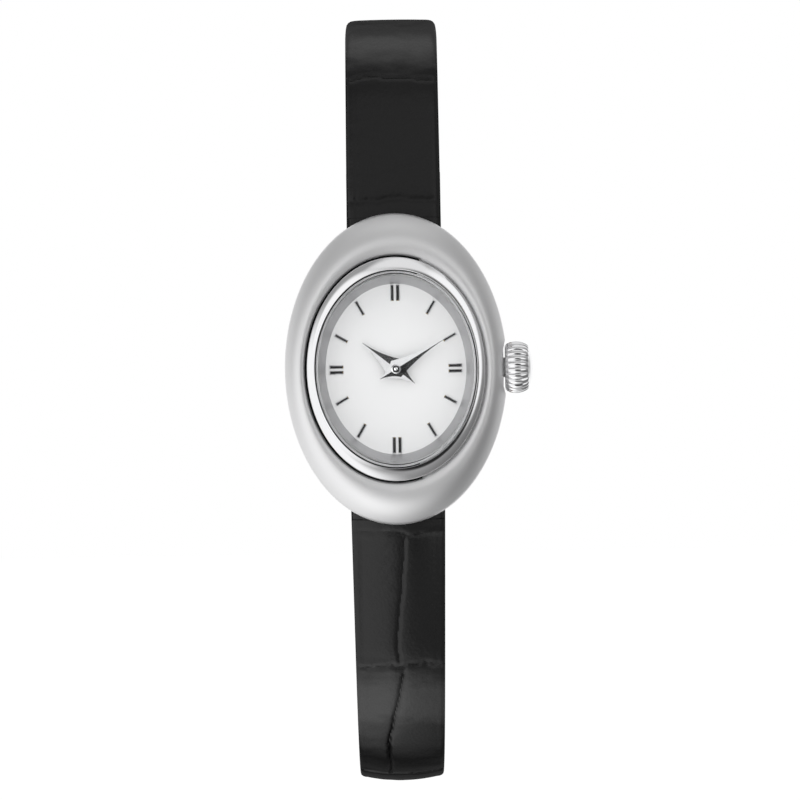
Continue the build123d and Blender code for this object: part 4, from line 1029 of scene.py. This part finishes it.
def wrap_strap(name, half, stations, outline, size_at, rounding, relief=None):
    """Makes a closed strap piece. size_at gives (half width, low, high) at a distance along. Rounding is
    the face's bulge, as a share of the thickness, and how far its edges and the lower ones are rounded."""
    bulge, top_round, under_round = rounding
    bpy.ops.object.select_all(action="DESELECT")
    columns, rows = len(outline) - 1, len(stations) - 1
    bpy.ops.mesh.primitive_grid_add(x_subdivisions=columns, y_subdivisions=rows, size=1)
    made = bpy.context.object
    made.name = name
    for vertex in made.data.vertices:
        reach = stations[round((vertex.co.y + 0.5) * rows)]
        kind, where = outline[round((vertex.co.x + 0.5) * columns)]
        half_width, low, high = size_at(reach)
        middle, forward, outward = half.at(reach)
        thickness = high - low
        upper_side = kind == "face" or (kind == "right" and where < 0.5) or (kind == "left" and where > 0.5)
        round_off = min(top_round if upper_side else under_round, thickness * 0.6, half_width)
        edge_high = high - bulge * thickness
        if kind == "face":
            across_here = where * (half_width - round_off)
            lift = edge_high + (high - edge_high) * (1 - where * where)
            if relief:
                lift += min(1.0, thickness) * relief(reach, across_here)
        elif kind == "under":
            across_here = where * (half_width - round_off)
            lift = low
        else:
            # A cut edge: half an ellipse from the face round to the underside
            sign = 1 if kind == "right" else -1
            turned = math.pi * (where if kind == "right" else 1 - where)
            across_here = sign * (half_width - round_off + round_off * math.sin(turned))
            lift = (edge_high + low) / 2 + (edge_high - low) / 2 * math.cos(turned)
            if relief and upper_side:
                edge_level = min(1.0, thickness) * relief(reach, sign * (half_width - round_off))
                lift += edge_level * math.cos(turned)
        vertex.co = (middle + outward * lift + Vector((across_here, 0, 0))) * mm
    start_editing()
    bpy.ops.mesh.select_all(action="SELECT")
    bpy.ops.mesh.remove_doubles(threshold=weld_reach)
    close_solid()
    smooth(45)
    return made


def strap_stations(start, end, fine_to=0.0, fine=0.22, coarse=0.34):
    """Distances along the strap, close together where the camera looks."""
    places = [start]
    while places[-1] < end:
        places.append(min(end, places[-1] + (fine if places[-1] < fine_to else coarse)))
    return places


print("wrapping helpers ready")

# %% [markdown]
# ## Leather finishes
#
# Pressed and polished calf is black with a low, even gloss. Under a loupe it has pores a few tenths of a
# millimetre apart and a polish that wanders, so the bands of light on it have soft, uneven edges. Seen at
# a slant the polish fades into a dull black. Where the strap bends away above and below the case, a paler
# band with ragged edges is painted into the black on its front as a painted highlight. The long half is a
# little glossier than the short one. The lining is brown, matt and more open.

# %% Leathers
# Painted highlight: heights and depths, in millimetres, of the paler band painted into the leather's colour.
highlight_band_starts, highlight_band_ends = (31.0, 34.5), (36.2, 38.2)
highlight_band_front = (4.0, 12.0)
highlight_band_ragged = 3.2
slant_starts, slant_ends, most_dull = 0.36, 0.56, 0.88


def leather(name, dark, light, roughness, pore_scale, pore_depth, gloss=0.5, painted_highlight=0.0):
    """Finished leather: pores, a slow change of shade and a polish that wanders. The painted highlight is a
    paler band painted into the colour where the strap bends away above and below the case, on its front."""
    recipe = new_finish(name)
    pores = recipe.node("TexVoronoi", None, out="Distance", Vector=recipe.place(), Scale=pore_scale)
    fine = recipe.noise(pore_scale * 1.7, 3)
    slow = recipe.noise(140, 3)
    worn = slow * 0.6 + fine * 0.4
    shade = recipe.tint(worn, dark, light)
    # Painted highlight: a paler band painted into the colour where the strap bends away, on its front only.
    if painted_highlight:
        depth = recipe.node("SeparateXYZ", None, recipe.place(), out="Y")
        height = recipe.math("ABSOLUTE", recipe.node("SeparateXYZ", None, recipe.place(), out="Z"))
        ragged = (recipe.noise(420, 4, vector=recipe.place((1, 1, 2.5))) - 0.5) * (highlight_band_ragged * mm)
        uneven = height + ragged
        starts = recipe.ease(uneven, *(edge * mm for edge in highlight_band_starts))
        stops = recipe.ease(uneven, *(edge * mm for edge in highlight_band_ends), 1.0, 0.0)
        in_front = recipe.ease(depth, *(edge * mm for edge in highlight_band_front), 1.0, 0.0)
        painted_highlight_tint = recipe.tint(fine, [painted_highlight * 0.75] * 3, [painted_highlight * 1.15] * 3)
        shade = recipe.node("Mix", {"data_type": "RGBA"}, starts * stops * in_front, shade, painted_highlight_tint)
    wrinkles = recipe.noise(520, 5, 0.62, recipe.place((0.7, 1, 2.2)))
    grain = recipe.bump(pores * 0.25 + fine * 0.2 + wrinkles * 0.55, pore_depth * mm, 0.8)
    polished = recipe.surface(
        Base_Color=shade,
        Roughness=recipe.between(worn, roughness - 0.07, roughness + 0.07),
        Specular_IOR_Level=gloss,
        Normal=grain,
    )
    dull = recipe.surface(Base_Color=shade, Roughness=1.0, Specular_IOR_Level=0.0, Normal=grain)
    slanted = recipe.node("LayerWeight", None, 0.5, out="Facing")
    fading = recipe.ease(slanted, slant_starts, slant_ends, 0.0, most_dull)
    recipe.end(recipe.mix(fading, polished, dull))


dark_hide, light_hide = (0.0015, 0.0015, 0.0016), (0.005, 0.005, 0.0052)
# Both strap leathers carry a painted highlight band; the lining has none.
leather("black_leather", dark_hide, light_hide, 0.36, 2600, 0.06, gloss=0.3, painted_highlight=0.03)
leather("black_leather_long", dark_hide, light_hide, 0.36, 2600, 0.06, gloss=0.46, painted_highlight=0.027)
leather("lining_leather", (0.1, 0.055, 0.032), (0.2, 0.12, 0.075), 0.72, 1500, 0.03)
print("leathers ready")

# %% Strap halves
leather_outline = section_outline(56, 8, 10)
fine_until, end_sinks, end_steps, tip_steps = 44, 0.998, 8, 28
fold, fold_step = lining_gap - 0.05, 0.02
bar_hole, buckle_hole, tongue_slot = (0.8, 14), (0.6, 14), (2.0, 4.6, 6.0)


def leather_size(half, inside):
    """A function that gives half width, low and high of the leather at a distance along. It is solid where
    it wraps a bar, and makes room for the lining between. Its face is lowered by what inside says."""

    def size(reach):
        thickness = half.thickness(reach)
        low, high = lining_thickness - thickness / 2, thickness / 2 - inside
        if reach < fold + fold_step / 2:
            low = -thickness / 2
        if reach < 0:
            bend = math.sqrt(max(0.0, strap_end_radius**2 - reach**2))
            low, high = -bend, bend
        if not half.tip and reach > half.length - fold - fold_step / 2:
            low = -thickness / 2
        if not half.tip and reach > half.length:
            bend = math.sqrt(max(0.0, (thickness / 2) ** 2 - (reach - half.length) ** 2))
            low, high = -bend, bend
        return half.half_width(reach), low, high

    return size


def leather_half(name, half, relief, rounding, inside=0.0):
    """The leather of one half, with its round ends."""
    stations = strap_stations(0.0, half.length - half.tip, fine_until) + [fold, fold + fold_step]
    for step in range(end_steps):
        stations.append(-strap_end_radius * math.cos(math.pi / 2 * step / end_steps) * end_sinks)
    if half.tip:
        stations += half.tip_stations(tip_steps)
    else:
        end_radius = half.thickness(half.length) / 2
        for step in range(1, end_steps):
            sweep = math.sin(math.pi / 2 * step / (end_steps - 1))
            stations.append(half.length + end_radius * end_sinks * sweep)
        stations += [half.length - fold, half.length - fold - fold_step]
    made = wrap_strap(
        name, half, sorted(set(stations)), leather_outline, leather_size(half, inside), rounding, relief
    )
    print(name, len(made.data.vertices), "points")
    return made


upper_half = leather_half("strap_upper_skin", upper, upper_relief, (0.05, 0.75, 0.25))
buckle_place, buckle_turn = upper.turn_at(upper.length)
upper_cutters = [
    cutter("round", bar_hole, (0, -bar_height, bar_place), across, 40),
    cutter("round", buckle_hole, buckle_place, across, 32),
    cutter("block", tongue_slot, buckle_place, buckle_turn),
]
cut_away(upper_half, upper_cutters)
hand_over(upper_half, "strap_upper", "black_leather", "strap_upper_leather")

# %% Lower half
hole_punch, hole_pitch, first_hole, hole_count = (0.75, 6), 6.0, 22.0, 5


def hole_cutters():
    """The punches for the five holes of the long half."""
    reaches = [lower.length - first_hole - number * hole_pitch for number in range(hole_count)]
    return [cutter("round", hole_punch, *lower.turn_at(reach), 32) for reach in reaches]


lower_half = leather_half("strap_lower_skin", lower, lower_relief, (0.32, 1.0, 0.25), inside=0.08)
bar_cutter = cutter("round", bar_hole, (0, -bar_height, -bar_place), across, 40)
cut_away(lower_half, [bar_cutter] + hole_cutters())
hand_over(lower_half, "strap_lower", "black_leather", "strap_lower_leather", "black_leather_long")

# %% Linings
lining_outline = section_outline(10, 6, 6)
lining_inset, lining_round, lining_step, lining_tip_steps = 0.1, 0.12, 0.6, 20


def lining(name, half, body, node, cutters=()):
    """The thin layer under one half."""

    def size(reach):
        low = -half.thickness(reach) / 2
        return half.half_width(reach, lining_inset), low, low + lining_thickness - glue_gap

    stations = strap_stations(lining_gap, half.length - (half.tip or lining_gap), coarse=lining_step)
    if half.tip:
        stations += half.tip_stations(lining_tip_steps)
    made = wrap_strap(
        name, half, sorted(set(stations)), lining_outline, size, (0.0, lining_round, lining_round)
    )
    if cutters:
        cut_away(made, cutters)
    hand_over(made, body, "lining_leather", node)


lining("strap_upper_underside", upper, "strap_upper", "strap_upper_lining")
lining("strap_lower_underside", lower, "strap_lower", "strap_lower_lining", hole_cutters())

# %% [markdown]
# ## Keepers
#
# A keeper is a strip of the same leather, folded flat round the strap. Each is a box without its two ends,
# its long corners rounded and its wall given a thickness, so the loop stays open and its rims stay soft.

# %% Keepers
keeper_half_width, keeper_low, keeper_high, keeper_wall = 5.05, -1.97, 3.87, 0.8
keeper_corner, keeper_rim = 0.7, 0.18


def pick(piece, component, wanted):
    """Leaves edit mode on, with only the faces or edges selected that the test wants."""
    bpy.context.view_layer.objects.active = piece
    start_editing(component)
    bpy.ops.mesh.select_all(action="DESELECT")
    stop_editing()
    for part in piece.data.polygons if component == "FACE" else piece.data.edges:
        part.select = wanted(part)
    start_editing(component)


def keeper(name, reach, along, body, node):
    """A flat leather loop round the upper half."""
    bpy.ops.object.select_all(action="DESELECT")
    bpy.ops.mesh.primitive_cube_add(size=1)
    loop = bpy.context.object
    loop.name = name
    loop.scale = (2 * keeper_half_width * mm, along * mm, (keeper_high - keeper_low) * mm)
    bpy.ops.object.transform_apply()
    pick(loop, "FACE", lambda face: abs(face.normal.y) > 0.9)
    bpy.ops.mesh.delete(type="FACE")
    stop_editing()

    def runs_along(edge):
        first, second = (loop.data.vertices[index].co for index in edge.vertices)
        return abs(first.y - second.y) > 0.5 * along * mm

    pick(loop, "EDGE", runs_along)
    bpy.ops.mesh.bevel(offset=keeper_corner * mm, segments=5, affect="EDGES")
    bpy.ops.mesh.select_all(action="SELECT")
    bpy.ops.mesh.normals_make_consistent(inside=False)
    stop_editing()
    limit = {"limit_method": "ANGLE", "angle_limit": math.radians(50)}
    modify(loop, "wall", "SOLIDIFY", thickness=keeper_wall * mm, offset=-1)
    modify(loop, "rim", "BEVEL", width=keeper_rim * mm, segments=3, **limit)
    for modifier in ("wall", "rim"):
        bpy.ops.object.modifier_apply(modifier=modifier)
    middle, turn = upper.turn_at(reach)
    outward = upper.at(reach)[2]
    loop.rotation_euler = turn
    loop.location = (middle + outward * (keeper_low + keeper_high) / 2) * mm
    bpy.ops.object.transform_apply()
    smooth(40)
    hand_over(loop, body, "black_leather", node)


keeper("keeper_sewn", upper.length - 4.8, along=3.6, body="strap_upper", node="fixed_keeper")
keeper("keeper_sliding", upper.length - 10.2, along=4.4, body="free_keeper", node="free_keeper")

# %% [markdown]
# ## End

# %% End
print("scene script done")
